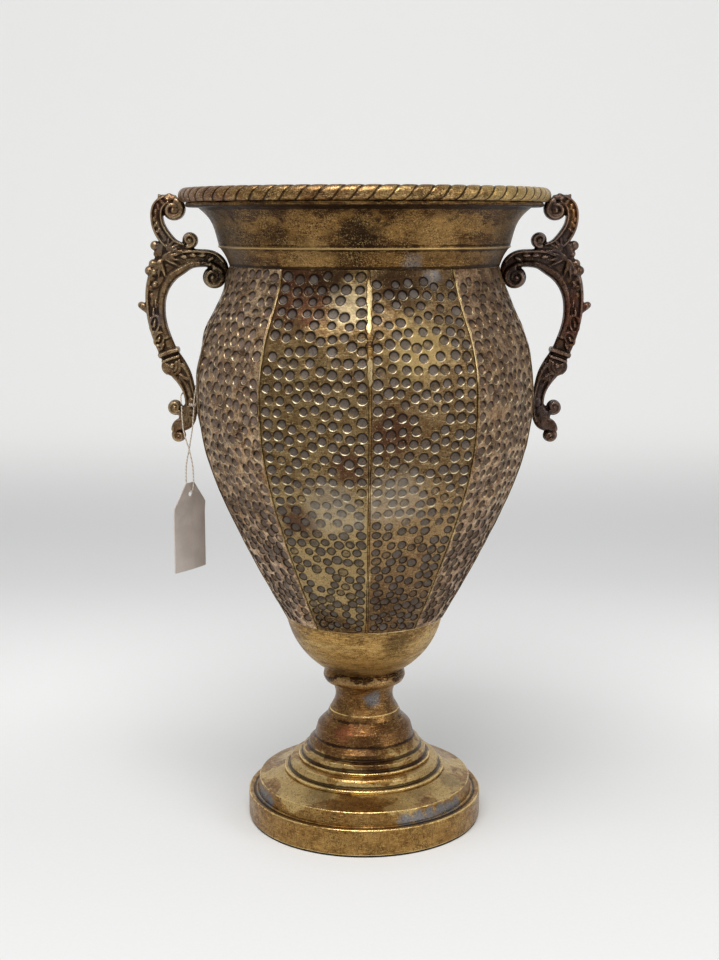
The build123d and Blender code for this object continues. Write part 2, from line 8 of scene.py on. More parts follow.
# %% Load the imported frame
import bmesh
import bpy
import math
import numpy as np
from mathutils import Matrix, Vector


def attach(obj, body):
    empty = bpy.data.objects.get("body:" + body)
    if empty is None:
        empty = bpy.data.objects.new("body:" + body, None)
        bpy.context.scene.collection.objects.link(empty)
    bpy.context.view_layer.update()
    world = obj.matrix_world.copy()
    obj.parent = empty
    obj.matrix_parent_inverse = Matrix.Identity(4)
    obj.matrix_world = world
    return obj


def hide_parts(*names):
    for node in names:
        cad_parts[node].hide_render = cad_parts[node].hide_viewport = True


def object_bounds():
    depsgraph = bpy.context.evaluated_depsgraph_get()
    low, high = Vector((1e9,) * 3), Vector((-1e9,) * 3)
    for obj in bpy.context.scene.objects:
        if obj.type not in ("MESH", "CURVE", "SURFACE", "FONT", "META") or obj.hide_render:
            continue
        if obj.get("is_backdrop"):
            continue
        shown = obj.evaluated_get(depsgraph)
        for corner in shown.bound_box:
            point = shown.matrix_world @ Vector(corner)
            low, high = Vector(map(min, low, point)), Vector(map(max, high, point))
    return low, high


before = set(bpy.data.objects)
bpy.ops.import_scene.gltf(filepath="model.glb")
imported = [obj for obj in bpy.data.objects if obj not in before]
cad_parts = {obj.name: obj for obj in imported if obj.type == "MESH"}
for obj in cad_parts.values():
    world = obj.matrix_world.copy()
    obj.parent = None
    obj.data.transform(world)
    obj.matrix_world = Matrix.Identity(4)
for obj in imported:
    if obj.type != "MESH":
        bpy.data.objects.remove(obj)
cad_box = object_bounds()
MM = 0.001
scene = bpy.context.scene
print("CAD nodes:", len(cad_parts))

# %% [markdown]
# ## Camera
# The photograph was taken from about a metre away and a little above the middle of the vase, looking down ten
# degrees. The distance and the tilt come from how round the circles of rim, belly and foot look. The long
# side of the picture is its height, so the sensor's 36 mm lie along it.

# %% Camera
camera_distance = 0.976
camera_height = 0.409
camera_side = -0.0033
camera_tilt = 10.05
focal_in_picture_heights = 1462 / 960

camera_data = bpy.data.cameras.new("camera")
camera_data.sensor_width = 36
camera_data.lens = 36 * focal_in_picture_heights
camera = bpy.data.objects.new("camera", camera_data)
camera.location = (camera_side, -camera_distance, camera_height)
camera.rotation_euler = (math.radians(90 - camera_tilt), 0, 0)
scene.collection.objects.link(camera)
scene.camera = camera
print("lens", round(camera_data.lens, 1), "mm")


# %% [markdown]
# ## Thread of the swing tag
# A thin waxed thread goes round the waist of the left handle, is knotted there, and its two strands cross
# before they pass through the hole of the card. A smooth NURBS line through a few points has the easy bends
# of real thread. The pieces are cut where the tag swings and where it turns, so that each rides on its own
# body.

# %% Lines of the thread
thread_diameter = 0.9
card_turn = math.radians(57)
card_along = Vector((math.cos(card_turn), math.sin(card_turn), 0))
card_out = Vector((math.sin(card_turn), -math.cos(card_turn), 0))
card_axis = Vector((-117.6, -6.6, 0))
cross_height = 258.2


def beside_axis(out, height):
    """Point beside the tag's axis, on the line square to the card, in millimetres."""
    return tuple(card_axis + card_out * out + Vector((0, 0, height)))


wrap_points = [(-122.1, -6.6, 288.6), (-122.7, -6.6, 293.6), (-122.7, -0.4, 294.2), (-122.6, 5.9, 294.8),
               (-117.5, 5.9, 297.5), (-112.3, 5.9, 300.2), (-112.2, -0.4, 300.1), (-112.2, -6.6, 300.0),
               (-113.0, -6.6, 294.6), (-113.9, -6.6, 289.2)]
left_points = [(-122.1, -6.6, 287.4), (-121.9, -6.7, 276.4), (-120.5, -7.0, 267.0), (-117.6, -7.2, 258.5)]
right_points = [(-113.9, -6.6, 286.5), (-114.5, -6.5, 277.0), (-115.9, -6.3, 267.5), (-117.6, -6.0, 258.5)]
loop_points = [(-117.6, -7.2, cross_height), beside_axis(2.7, 249.2), beside_axis(3.3, 239.7),
               beside_axis(3.0, 229.25), beside_axis(-3.0, 229.25), beside_axis(-3.3, 240.2),
               beside_axis(-2.6, 249.7), (-117.6, -6.0, cross_height)]


# %% Thread
def make_thread(name, points, body):
    """Round thread on one smooth line, standing for the CAD solid of the same name."""
    curve = bpy.data.curves.new(name + "_thread", "CURVE")
    curve.dimensions = "3D"
    curve.resolution_u = 16
    curve.bevel_depth = thread_diameter / 2
    curve.bevel_resolution = 4
    curve.use_fill_caps = True
    spline = curve.splines.new("NURBS")
    spline.points.add(len(points) - 1)
    for place, point in zip(spline.points, points):
        place.co = (point[0] * MM, point[1] * MM, point[2] * MM, 1)
        place.radius = MM
    spline.order_u = 3
    spline.use_endpoint_u = True
    thread = bpy.data.objects.new(name + "_thread", curve)
    scene.collection.objects.link(thread)
    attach(thread, body)
    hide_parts(name)
    return thread


wrap_thread = make_thread("string_wrap", wrap_points, "vase")
left_thread = make_thread("string_left", left_points, "thread")
right_thread = make_thread("string_right", right_points, "thread")
loop_thread = make_thread("string_loop", loop_points, "tag")
print("lengths of thread:", [thread.name for thread in (wrap_thread, left_thread, right_thread, loop_thread)])

# %% [markdown]
# ## Outlines
# A brass spinner works to a template, and a template's curve is drawn with a bent batten. The same curve is
# worked out here: a cubic line through a few points that bends as little as it can.

# %% Battens
def lengths_along(line):
    """Length from the start of a line to each of its points."""
    return np.r_[0, np.cumsum(np.linalg.norm(np.diff(line, axis=0), axis=1))]


def batten(points, count=600):
    """Samples of the smooth line through the points."""
    points = np.array(points, float)
    along = lengths_along(points)
    gap = np.diff(along)
    bends, pull = np.eye(len(points)), np.zeros_like(points)
    for i in range(1, len(points) - 1):
        bends[i, i - 1:i + 2] = gap[i - 1], 2 * (gap[i - 1] + gap[i]), gap[i]
        pull[i] = 6 * ((points[i + 1] - points[i]) / gap[i] - (points[i] - points[i - 1]) / gap[i - 1])
    curve = np.linalg.solve(bends, pull)
    at = np.linspace(0, along[-1], count)
    i = np.clip(np.searchsorted(along, at) - 1, 0, len(gap) - 1)
    before, after, step = (along[i + 1] - at)[:, None], (at - along[i])[:, None], gap[i][:, None]
    cubic = (curve[i] * before**3 + curve[i + 1] * after**3) / (6 * step)
    first, last = points[i] / step - curve[i] * step / 6, points[i + 1] / step - curve[i + 1] * step / 6
    return cubic + first * before + last * after


# %% Fillets and even steps
fillet_step = 0.25


def rounded(corners):
    """Closed outline through (radius, height, fillet) corners, each fillet drawn as a short arc."""
    places = [Vector((c[0], c[1])) for c in corners]
    line = []
    for i, place in enumerate(places):
        back, ahead = places[i - 1] - place, places[(i + 1) % len(places)] - place
        fillet = corners[i][2]
        turn = math.pi - back.angle(ahead)
        if fillet <= 0 or turn < 0.05:
            line.append(place)
            continue
        cut = min(fillet * math.tan(turn / 2), 0.49 * back.length, 0.49 * ahead.length)
        first, last = place + back.normalized() * cut, place + ahead.normalized() * cut
        steps = max(3, int(turn * fillet / fillet_step))
        for k in range(steps + 1):
            t = k / steps
            line.append(first * (1 - t)**2 + place * 2 * t * (1 - t) + last * t * t)
    return line


def evenly(line, step):
    """A closed line with points an even step apart."""
    line = np.array([tuple(p) for p in line], float)
    line = np.vstack([line, line[:1]])
    along = lengths_along(line)
    count = max(8, int(along[-1] / step))
    at = np.linspace(0, along[-1], count + 1)[:-1]
    return np.stack([np.interp(at, along, line[:, k]) for k in range(line.shape[1])], axis=1)


def signed_area(outline):
    """Twice the area of a closed outline, positive if it runs anticlockwise."""
    return (outline[:, 0] * np.roll(outline[:, 1], -1) - np.roll(outline[:, 0], -1) * outline[:, 1]).sum()


def smoothstep(value):
    """Eased step from 0 to 1."""
    value = np.clip(value, 0, 1)
    return value * value * (3 - 2 * value)


# %% [markdown]
# ## From arrays to pieces
# Every piece from here on is worked out as an array of points in millimetres. One helper turns points and
# faces into an object, stores how rubbed each point is as an attribute that the materials read, hangs the
# piece on its body and hides the CAD node that it stands for.

# %% Making a piece
def make_piece(name, points, faces, node, slot, material, body="vase", smooth=True, **masks):
    """Object from millimetre points. Each mask becomes a point attribute that the finish reads by name."""
    mesh = bpy.data.meshes.new(name)
    mesh.from_pydata((np.asarray(points, float) * MM).tolist(), [], [list(map(int, f)) for f in faces])
    mesh.validate()
    mesh.shade_smooth() if smooth else mesh.shade_flat()
    for key, values in masks.items():
        mesh.attributes.new(key, "FLOAT", "POINT").data.foreach_set("value", np.asarray(values, np.float32))
    mesh.materials.append(material)
    piece = bpy.data.objects.new(name, mesh)
    scene.collection.objects.link(piece)
    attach(piece, body)
    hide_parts(node)
    return piece


# %% Grids, tubes and turns
def grid_faces(rows, columns, wrap_rows=False, wrap_columns=False, start=0):
    """Quads of a grid of points that is stored row by row."""
    i, j = np.meshgrid(np.arange(rows if wrap_rows else rows - 1),
                       np.arange(columns if wrap_columns else columns - 1), indexing="ij")
    i2, j2 = (i + 1) % rows, (j + 1) % columns
    quads = np.stack([i * columns + j, i * columns + j2, i2 * columns + j2, i2 * columns + j], axis=-1)
    return quads.reshape(-1, 4) + start


def tube_faces(stations, around, start=0):
    """Faces of a tube through closed rings of points, with a cap at each end."""
    sides = [tuple(f) for f in grid_faces(stations, around, wrap_columns=True, start=start)]
    last = start + (stations - 1) * around
    return sides + [tuple(range(start, start + around))[::-1], tuple(range(last, last + around))]


def turned(angle):
    """Matrix that turns points about the vase's axis."""
    return np.array([[math.cos(angle), -math.sin(angle), 0],
                     [math.sin(angle), math.cos(angle), 0], [0, 0, 1]])


# %% Gentle unevenness
wave_count, wave_sum = 14, 3.5


def gentle_noise(points, size, seed):
    """Smooth value between about -1 and 1 at each point, with bumps of about that size in millimetres."""
    chooser = np.random.default_rng(seed)
    total = np.zeros(len(points))
    for _ in range(wave_count):
        way = chooser.normal(size=3)
        way *= 2 * math.pi / (size * chooser.uniform(0.7, 1.6)) / np.linalg.norm(way)
        total += np.sin(points @ way + chooser.uniform(0, 2 * math.pi))
    return total / wave_sum


# %% [markdown]
# ## Wiring finishes
# A finish is a tree of nodes. A small helper adds a node, wires its inputs and hands back its output, so that
# each finish reads as a list of what is laid over what.

# %% Node helper
def linear(red, green, blue):
    """A colour given as it looks on a screen, 0 to 255, as the renderer needs it."""
    return tuple(((c / 255 + 0.055) / 1.055)**2.4 if c > 10 else c / 255 / 12.92
                 for c in (red, green, blue)) + (1.0,)


class Wires:
    """Adds nodes to one tree. An input may be a plain value or another node's output."""

    def __init__(self, tree):
        self.tree = tree

    def link(self, value, socket):
        self.tree.links.new(value, socket)

    def fill(self, node, inputs):
        """Sets or wires the inputs of a node."""
        for key, value in inputs.items():
            if isinstance(value, bpy.types.NodeSocket):
                self.link(value, node.inputs[key])
            else:
                node.inputs[key].default_value = value

    def node(self, kind, inputs=None, out=0, **settings):
        node = self.tree.nodes.new("ShaderNode" + kind)
        for key, value in settings.items():
            setattr(node, key, value)
        self.fill(node, inputs or {})
        return node.outputs[out]

    def math(self, operation, first, second):
        return self.node("Math", {0: first, 1: second}, operation=operation)

    def plus(self, first, second):
        return self.math("ADD", first, second)

    def minus(self, first, second):
        return self.math("SUBTRACT", first, second)

    def times(self, first, second):
        return self.math("MULTIPLY", first, second)

    def ramp(self, value, low, high, to_low=0.0, to_high=1.0):
        """The value mapped smoothly from one range to another."""
        return self.node("MapRange", {0: value, 1: low, 2: high, 3: to_low, 4: to_high},
                         interpolation_type="SMOOTHSTEP")

    def mix(self, share, first, second):
        """Two colours, the second laid over the first by its share. A plain one is three values up to 255."""
        first, second = (linear(*c) if isinstance(c, tuple) else c for c in (first, second))
        return self.node("Mix", {0: share, 6: first, 7: second}, out=2, data_type="RGBA")

    def lay(self, under, mask, amount, tint):
        """A tint laid over a colour where the mask shows, by that amount."""
        return self.mix(self.times(mask, amount), under, tint)

    def cloud(self, where, per_metre, detail, roughness=0.5, **more):
        """Cloudy noise with so many clouds to the metre."""
        return self.node("TexNoise",
                         {"Vector": where, "Scale": per_metre, "Detail": detail, "Roughness": roughness,
                                      **more})

    def noise(self, where, size_mm, detail, roughness=0.55):
        """Cloudy noise with clouds of about that size."""
        return self.cloud(where, 1 / (size_mm * MM), detail, roughness)

    def stretched(self, where, stretch):
        return self.node("Mapping", {"Vector": where, "Scale": stretch})

    def stored(self, name):
        """The mask that make_piece stored at the points under this name."""
        return self.node("Attribute", out=2, attribute_name=name)

    def group(self, tree, inputs):
        """A shared effect with its own values. Returns its outputs by name."""
        node = self.tree.nodes.new("ShaderNodeGroup")
        node.node_tree = tree
        self.fill(node, inputs)
        return node.outputs


# %% Empty node group
def new_group(name, inputs, outputs):
    """Empty node group with named number or vector inputs and number outputs."""
    tree = bpy.data.node_groups.new(name, "ShaderNodeTree")
    for key, value in inputs.items():
        kind = "NodeSocketVector" if isinstance(value, tuple) else "NodeSocketFloat"
        tree.interface.new_socket(key, in_out="INPUT", socket_type=kind).default_value = value
    for key in outputs:
        tree.interface.new_socket(key, in_out="OUTPUT", socket_type="NodeSocketFloat")
    given = tree.nodes.new("NodeGroupInput")
    made = tree.nodes.new("NodeGroupOutput")
    return tree, Wires(tree), given.outputs, made.inputs


# %% [markdown]
# ## Shared effects
# Antique gilding is a sandwich: brown metal, gold leaf or lacquer rubbed over it, dark wax left in the
# hollows, and bare bright metal where hands and cloths have rubbed the high places. Each layer is a mask that
# several finishes share, so each is a node group: patches of patina, wax in the hollows with rubbed edges,
# bands of wear and of painted shade, single spots for stains, painted shade and painted sheen, fine specks, the
# grain of the surface, scratches, and the struck dimples with their painted shade and painted highlights.

# %% Patina patches
NO_PLACE = (0.0, 0.0, 0.0)
patina_patches, wires, given, made = new_group(
    "patina_patches", {"Where": NO_PLACE, "Size": 20.0, "Share": 0.4, "Softness": 0.08, "Seed": 0.0},
    ["Mask", "Tone"])
shifted = wires.node("VectorMath", {0: given["Where"], 1: given["Seed"]}, operation="ADD")
per_metre = wires.math("DIVIDE", 1000.0, given["Size"])
broad = wires.cloud(shifted, per_metre, 2.0, Distortion=0.4)
ragged = wires.cloud(shifted, wires.times(per_metre, 5.0), 6.0, 0.65)
blend = wires.plus(wires.times(broad, 0.68), wires.times(ragged, 0.32))
threshold = wires.minus(0.62, wires.times(given["Share"], 0.24))
wires.link(wires.ramp(blend, wires.minus(threshold, given["Softness"]),
                      wires.plus(threshold, given["Softness"])),
           made["Mask"])
tone = wires.cloud(shifted, wires.times(per_metre, 0.6), 3.0, 0.6)
wires.link(wires.ramp(tone, 0.35, 0.65), made["Tone"])
print("group", patina_patches.name, "with", len(patina_patches.nodes), "nodes")

# %% Wax in the hollows and rubbed edges
rub_and_wax, wires, given, made = new_group(
    "rub_and_wax", {"Where": NO_PLACE, "High": 0.0, "Rub Start": 0.25, "Wax Start": 0.2, "Ragged": 0.35},
    ["Rubbed", "Waxed"])
breakup = wires.cloud(given["Where"], 260.0, 5.0, 0.7)
spells = wires.cloud(given["Where"], 45.0, 3.0, 0.6)
jitter = wires.times(wires.minus(wires.plus(breakup, spells), 1.0), given["Ragged"])
level = wires.plus(given["High"], jitter)
wires.link(wires.ramp(level, given["Rub Start"], wires.plus(given["Rub Start"], 0.3)), made["Rubbed"])
hollow = wires.times(level, -1.0)
wires.link(wires.ramp(hollow, given["Wax Start"], wires.plus(given["Wax Start"], 0.3)), made["Waxed"])
print("group", rub_and_wax.name, "with", len(rub_and_wax.nodes), "nodes")

# %% Bands of wear and of painted shade
wear_and_shade_band, wires, given, made = new_group(
    "wear_and_shade_band", {"Where": NO_PLACE, "Low": 0.0, "High": 0.1, "Soft": 0.01}, ["Mask"])
level = wires.node("SeparateXYZ", {"Vector": given["Where"]}, out=2)
drift = wires.cloud(given["Where"], 30.0, 4.0, 0.6)
level = wires.plus(level, wires.times(wires.minus(drift, 0.5), 0.06))
above = wires.ramp(level, wires.minus(given["Low"], given["Soft"]), wires.plus(given["Low"], given["Soft"]))
below = wires.ramp(level, wires.minus(given["High"], given["Soft"]), wires.plus(given["High"], given["Soft"]),
                   1.0, 0.0)
wires.link(wires.times(above, below), made["Mask"])
print("group", wear_and_shade_band.name, "with", len(wear_and_shade_band.nodes), "nodes")

# %% Round spots: stains, painted shade and painted sheen
round_spot, wires, given, made = new_group(
    "round_spot", {"Where": NO_PLACE, "Centre": NO_PLACE, "Reach": 0.01}, ["Mask"])
away = wires.node("VectorMath", {0: given["Where"], 1: given["Centre"]}, out=1, operation="DISTANCE")
blot = wires.cloud(given["Where"], 150.0, 8.0, 0.75)
broken = wires.times(wires.minus(blot, 0.5), 1.9)
away = wires.plus(away, wires.times(broken, given["Reach"]))
wires.link(wires.ramp(away, wires.times(given["Reach"], 0.35), given["Reach"], 1.0, 0.0), made["Mask"])
print("group", round_spot.name, "with", len(round_spot.nodes), "nodes")

# %% Specks
specks, wires, given, made = new_group("specks", {"Where": NO_PLACE, "Size": 0.8, "Share": 0.3},
                                       ["Dark", "Light"])
per_metre = wires.math("DIVIDE", 1000.0, given["Size"])
fine = wires.cloud(given["Where"], per_metre, 3.0, 0.7)
crowd = wires.cloud(given["Where"], wires.times(per_metre, 0.08), 2.0)
crowded = wires.plus(wires.times(given["Share"], 0.25), wires.times(crowd, 0.22))
cut = wires.minus(0.80, crowded)
wires.link(wires.ramp(fine, cut, wires.plus(cut, 0.05)), made["Dark"])
wires.link(wires.ramp(wires.minus(1.0, fine), cut, wires.plus(cut, 0.05)), made["Light"])
print("group", specks.name, "with", len(specks.nodes), "nodes")

# %% Grain
grain, wires, given, made = new_group("grain", {"Where": NO_PLACE, "Size": 0.6, "Pits": 0.3}, ["Height"])
per_metre = wires.math("DIVIDE", 1000.0, given["Size"])
ripples = wires.cloud(given["Where"], per_metre, 4.0, 0.6)
pits = wires.node("TexVoronoi", {"Vector": given["Where"], "Scale": wires.times(per_metre, 0.5)})
pitted = wires.times(wires.ramp(pits, 0.0, 0.35, -1.0, 0.0), given["Pits"])
wires.link(wires.plus(ripples, pitted), made["Height"])
print("group", grain.name, "with", len(grain.nodes), "nodes")

# %% Scratches
scratches, wires, given, made = new_group(
    "scratches", {"Where": NO_PLACE, "Size": 0.5, "Share": 0.5}, ["Dark", "Light"])
per_metre = wires.math("DIVIDE", 1000.0, given["Size"])
threshold = wires.minus(0.68, wires.times(given["Share"], 0.12))
for key, lean, stretch in (("Dark", (0.5, 0.35, 0.2), (1, 1, 0.1)),
                           ("Light", (-0.5, 0.3, -0.4), (0.12, 0.12, 1))):
    along = wires.node("Mapping", {"Vector": given["Where"], "Rotation": lean, "Scale": stretch})
    lines = wires.cloud(along, per_metre, 3.0, 0.6)
    wires.link(wires.ramp(lines, threshold, wires.plus(threshold, 0.07)), made[key])
print("group", scratches.name, "with", len(scratches.nodes), "nodes")

# %% Hammered dimples
# The attribute "dimple" holds how many millimetres a point lies inside the nearest dimple's edge, and "down"
# says on which side of the dimple it lies, from -1 at its top to 1 at its bottom. The group's masks lay
# painted shade on the walls and a painted highlight on the lower lips.
dimple_layers, wires, given, made = new_group(
    "dimple_layers", {"Where": NO_PLACE, "Inside": 0.0, "Down": 0.0, "Tone": 0.5, "Shade All Round": 0.0},
    ["Floor", "Painted Shade", "Lip Glint", "Press"])
wobble = wires.cloud(given["Where"], 420.0, 2.0)
inside = wires.plus(given["Inside"], wires.times(wires.minus(wobble, 0.5), 0.6))
floor_mask = wires.ramp(inside, 0.35, 0.75)
worn = wires.cloud(given["Where"], 160.0, 4.0, 0.65)
kept = wires.ramp(wires.plus(worn, wires.times(given["Tone"], 0.35)), 0.36, 0.66, 0.3, 1.0)
wires.link(wires.times(floor_mask, kept), made["Floor"])
# Painted shade: the walls darken, more widely and more strongly on the dimple's upper side, and evenly all
# round where the last input asks for it.
reach = wires.ramp(given["Down"], -0.8, 0.6, 1.5, 0.7)
wall = wires.times(wires.ramp(inside, -0.4, 0.1), wires.ramp(inside, 0.35, reach, 1.0, 0.0))
side = wires.math("MAXIMUM", wires.ramp(given["Down"], -0.6, 0.6, 1.0, 0.3), given["Shade All Round"])
wires.link(wires.times(wall, side), made["Painted Shade"])
# Painted highlight: a bright crescent on the lip at the dimple's lower side, broken up by the wear noise.
lip = wires.times(wires.ramp(inside, -0.3, -0.05), wires.ramp(inside, 0.1, 0.45, 1.0, 0.0))
lip = wires.times(lip, wires.ramp(worn, 0.36, 0.56))
wires.link(wires.times(lip, wires.ramp(given["Down"], 0.2, 0.8)), made["Lip Glint"])
wires.link(wires.ramp(given["Inside"], -0.1, 0.75, 0.0, -1.0), made["Press"])
print("group", dimple_layers.name, "with", len(dimple_layers.nodes), "nodes")


# %% [markdown]
# ## The gilt finishes
# One recipe serves every gilt piece: gold in two tones, red-brown and dark-brown patina over it, wax in the
# hollows, bright metal on the rubbed edges, blue-grey stains, and specks. Each piece gets its own amounts,
# because the spun bowl of the real vase is cleaner than its neck, and the front panels are yellower than the
# side ones.

# %% Colours of the gilt
OLD_GOLD = (158, 128, 72)
PALE_GOLD = (204, 178, 124)
DEEP_GOLD = (116, 82, 34)
RED_BROWN = (88, 48, 32)
DARK_BROWN = (48, 29, 13)
WAX_BROWN = (32, 18, 8)
BRIGHT_RUB = (236, 208, 150)
BLUE_GREY = (112, 116, 122)
DIMPLE_GREY = (66, 54, 46)
DIMPLE_DUST = (108, 98, 90)
# Near-black, used mostly for painted shade in recesses and under overhangs.
NEAR_BLACK = (22, 12, 6)
DIMPLE_GLINT = (250, 236, 196)
STRAW = (208, 180, 118)
# Pale colour of the painted sheen low on the front of the belly.
SHEEN_PALE = (190, 180, 162)
OLD_RUST = (72, 38, 26)


# %% Spots and dimples over the gilt
# Below the first height the dimples lose their painted highlight and get deeper painted shade.
dull_below, dull_fade, belly_top = 232, 14, 400


def with_spots(wires, where, colour, stains):
    """Round spots over a colour, such as stains, painted shade and painted sheen, each with its place and reach
    in millimetres, its amount and its tint.
    """
    for x, y, z, reach, amount, tint in stains:
        spot_mask = wires.group(round_spot,
                            {"Where": where, "Centre": (x * MM, y * MM, z * MM), "Reach": reach * MM})
        colour = wires.lay(colour, spot_mask["Mask"], amount, tint)
    return colour


def dimples_over(wires, where, crumbs, colour, floor, dust, sunk, glint):
    """Struck dimples over a gilt: dusty floors painted lighter at their bottom, walls in painted shade and lips
    with a painted highlight. Low on the belly the highlight is left out and the painted shade is deeper.
    """
    inside, down, tone = wires.stored("dimple"), wires.stored("down"), wires.stored("tone")
    upper = wires.group(wear_and_shade_band, {"Where": where, "Low": dull_below * MM, "High": belly_top * MM,
                                    "Soft": dull_fade * MM})["Mask"]
    lower = wires.minus(1.0, upper)
    layers = wires.group(dimple_layers, {"Where": where, "Inside": inside, "Down": down, "Tone": tone,
                                         "Shade All Round": wires.times(lower, 0.9)})
    # Painted light: besides its random dust, each floor is painted lighter towards its bottom.
    lit = wires.plus(wires.times(tone, 0.75), wires.ramp(down, -0.9, 0.9, 0.0, 0.3))
    floor_tint = wires.mix(lit, floor, dust)
    floor_tint = wires.mix(wires.ramp(crumbs, 0.47, 0.64, 0.0, 0.55), floor_tint, DARK_BROWN)
    # Painted shade on the low floors and on the walls, and a painted highlight on the lower lips of the high
    # dimples.
    floor_tint = wires.lay(floor_tint, lower, sunk, NEAR_BLACK)
    colour = wires.lay(colour, layers["Floor"], 0.92, floor_tint)
    colour = wires.lay(colour, layers["Painted Shade"], 0.92, NEAR_BLACK)
    return wires.lay(colour, layers["Lip Glint"], wires.times(upper, glint), DIMPLE_GLINT), layers


# %% Gilt recipe
def gilt(name, gold=OLD_GOLD, second=PALE_GOLD, bright=BRIGHT_RUB, brown=0.3, red=0.3, depth=0.7, size=10.0,
         soft=0.10, rub=0.5, shine_off=0.9, wax=0.2, crumb=0.55, scratch=0.5, speck_share=0.2, flecks=0.3,
         roughness=0.36, metal=0.96, lumps=0.3, stretch=(1, 1, 1), seed=0.0, bands=(), spots=(),
         dimpled=False, floor=DIMPLE_GREY, dust=DIMPLE_DUST, sunk=0.25, glint=0.8, painted_sheen=()):
    """Antique gilt with its own amounts of brown, red, rub and wax.

    A band is its low and high edge and softness in millimetres, an amount and a tint; some bands and spots are
    painted shade. A spot or a spot of painted sheen is a place and a reach in millimetres, an amount and a
    tint. Floor, dust, sunk, glint and the painted sheen count for dimpled metal only: sunk is the painted shade
    of the low dimples, and glint the painted highlight on the lips of the high ones.
    """
    finish = bpy.data.materials.new(name)
    finish.use_nodes = True
    tree = finish.node_tree
    tree.nodes.clear()
    wires = Wires(tree)
    where = wires.node("TexCoord", out=3)
    drawn = wires.stretched(where, stretch)
    high = wires.stored("high")

    def patches(scale, share, edge, shift):
        return wires.group(patina_patches,
                           {"Where": drawn, "Size": size * scale, "Share": share, "Softness": edge,
                                            "Seed": seed + shift})["Mask"]

    colour = wires.mix(patches(1.6, 0.5, soft + 0.02, 3.0), gold, second)
    deep = wires.noise(drawn, size * 0.35, 6, 0.7)
    colour = wires.mix(wires.ramp(deep, 0.4, 0.68, 0.0, 0.7), colour, DEEP_GOLD)
    for low, top, fade, amount, tint in bands:
        band = wires.group(wear_and_shade_band, {"Where": where, "Low": low * MM, "High": top * MM, "Soft": fade * MM})
        colour = wires.lay(colour, band["Mask"], amount, tint)
    # On a banded piece the red and brown patches make an even veil, as soft at the edges as its last band.
    patch_edge = bands[-1][2] if bands else soft
    colour = wires.lay(colour, patches(0.8, red, patch_edge, 11.0), 0.85 * depth, RED_BROWN)
    browned = patches(1.0, brown, patch_edge, 23.0)
    colour = wires.lay(colour, browned, depth, DARK_BROWN)
    crumbs = wires.noise(where, 1.8, 6, 0.8)
    colour = wires.mix(wires.ramp(crumbs, 0.5, 0.66, 0.0, crumb), colour, WAX_BROWN)
    lines = wires.group(scratches, {"Where": where, "Size": 0.55, "Share": scratch})
    colour = wires.lay(colour, lines["Dark"], 0.55, WAX_BROWN)
    colour = wires.lay(colour, lines["Light"], 0.4, second)
    colour = with_spots(wires, where, colour, spots)
    dots = wires.group(specks, {"Where": where, "Size": 0.9, "Share": speck_share})
    colour = wires.lay(colour, dots["Dark"], 0.75, WAX_BROWN)
    colour = wires.lay(colour, dots["Light"], flecks, bright)
    rough = wires.plus(wires.ramp(deep, 0.3, 0.7, roughness - 0.06, roughness + 0.1),
                       wires.times(browned, 0.12))
    shine = wires.minus(metal, wires.times(browned, 0.12))
    height = wires.group(grain, {"Where": drawn, "Size": 0.7, "Pits": 0.35})["Height"]
    if dimpled:
        colour, layers = dimples_over(wires, where, crumbs, colour, floor, dust, sunk, glint)
        # Painted sheen: pale spots laid over the dimples.
        colour = with_spots(wires, where, colour, painted_sheen)
        rough = wires.plus(rough, wires.times(layers["Floor"], 0.16))
        shine = wires.minus(shine, wires.times(layers["Floor"], 0.45))
        height = wires.plus(wires.times(height, 0.08), wires.times(layers["Press"], 0.35))
    else:
        height = wires.times(height, 0.16)
    height = wires.plus(height, wires.times(wires.noise(drawn, 4.5, 3), lumps))
    edges = wires.group(rub_and_wax, {"Where": where, "High": high, "Rub Start": rub, "Wax Start": wax,
                                      "Ragged": 1.1})
    colour = wires.lay(colour, edges["Waxed"], 0.85, WAX_BROWN)
    colour = wires.lay(colour, edges["Rubbed"], shine_off, bright)
    rough = wires.minus(rough, wires.times(edges["Rubbed"], 0.1))
    normal = wires.node("Bump", {"Strength": 1.0, "Distance": MM, "Height": height})
    surface = wires.node("BsdfPrincipled", {"Base Color": colour, "Metallic": shine, "Roughness": rough,
                                            "Normal": normal})
    wires.link(surface, tree.nodes.new("ShaderNodeOutputMaterial").inputs["Surface"])
    return finish


# %% Finishes of the panels
# On the two front panels, the last pale spots are a painted sheen low on the front of the belly.
hammered_left = gilt("hammered_gilt_left", gold=(164, 138, 90), second=(208, 180, 126), brown=0.34,
                     red=0.3, size=13, dimpled=True, seed=1.7, depth=0.85, crumb=0.8, scratch=0.9, flecks=0.5,
                     bands=((156, 240, 12, 0.85, (255, 224, 158)), (130, 152, 5, 0.5, DARK_BROWN)), sunk=0.12,
                     spots=((-40, -84, 366, 36, 0.85, OLD_RUST), (-20, -86, 376, 20, 0.85, DARK_BROWN),
                            (-8, -96, 358, 18, 0.35, (196, 182, 146)), (-10, -108, 262, 16, 0.8, OLD_RUST),
                            (-42, -84, 226, 18, 0.85, OLD_RUST), (-6, -104, 316, 12, 0.5, OLD_RUST)),
                     painted_sheen=((-20, -98, 234, 25, 0.27, SHEEN_PALE), (-6, -104, 222, 14, 0.26, SHEEN_PALE)))
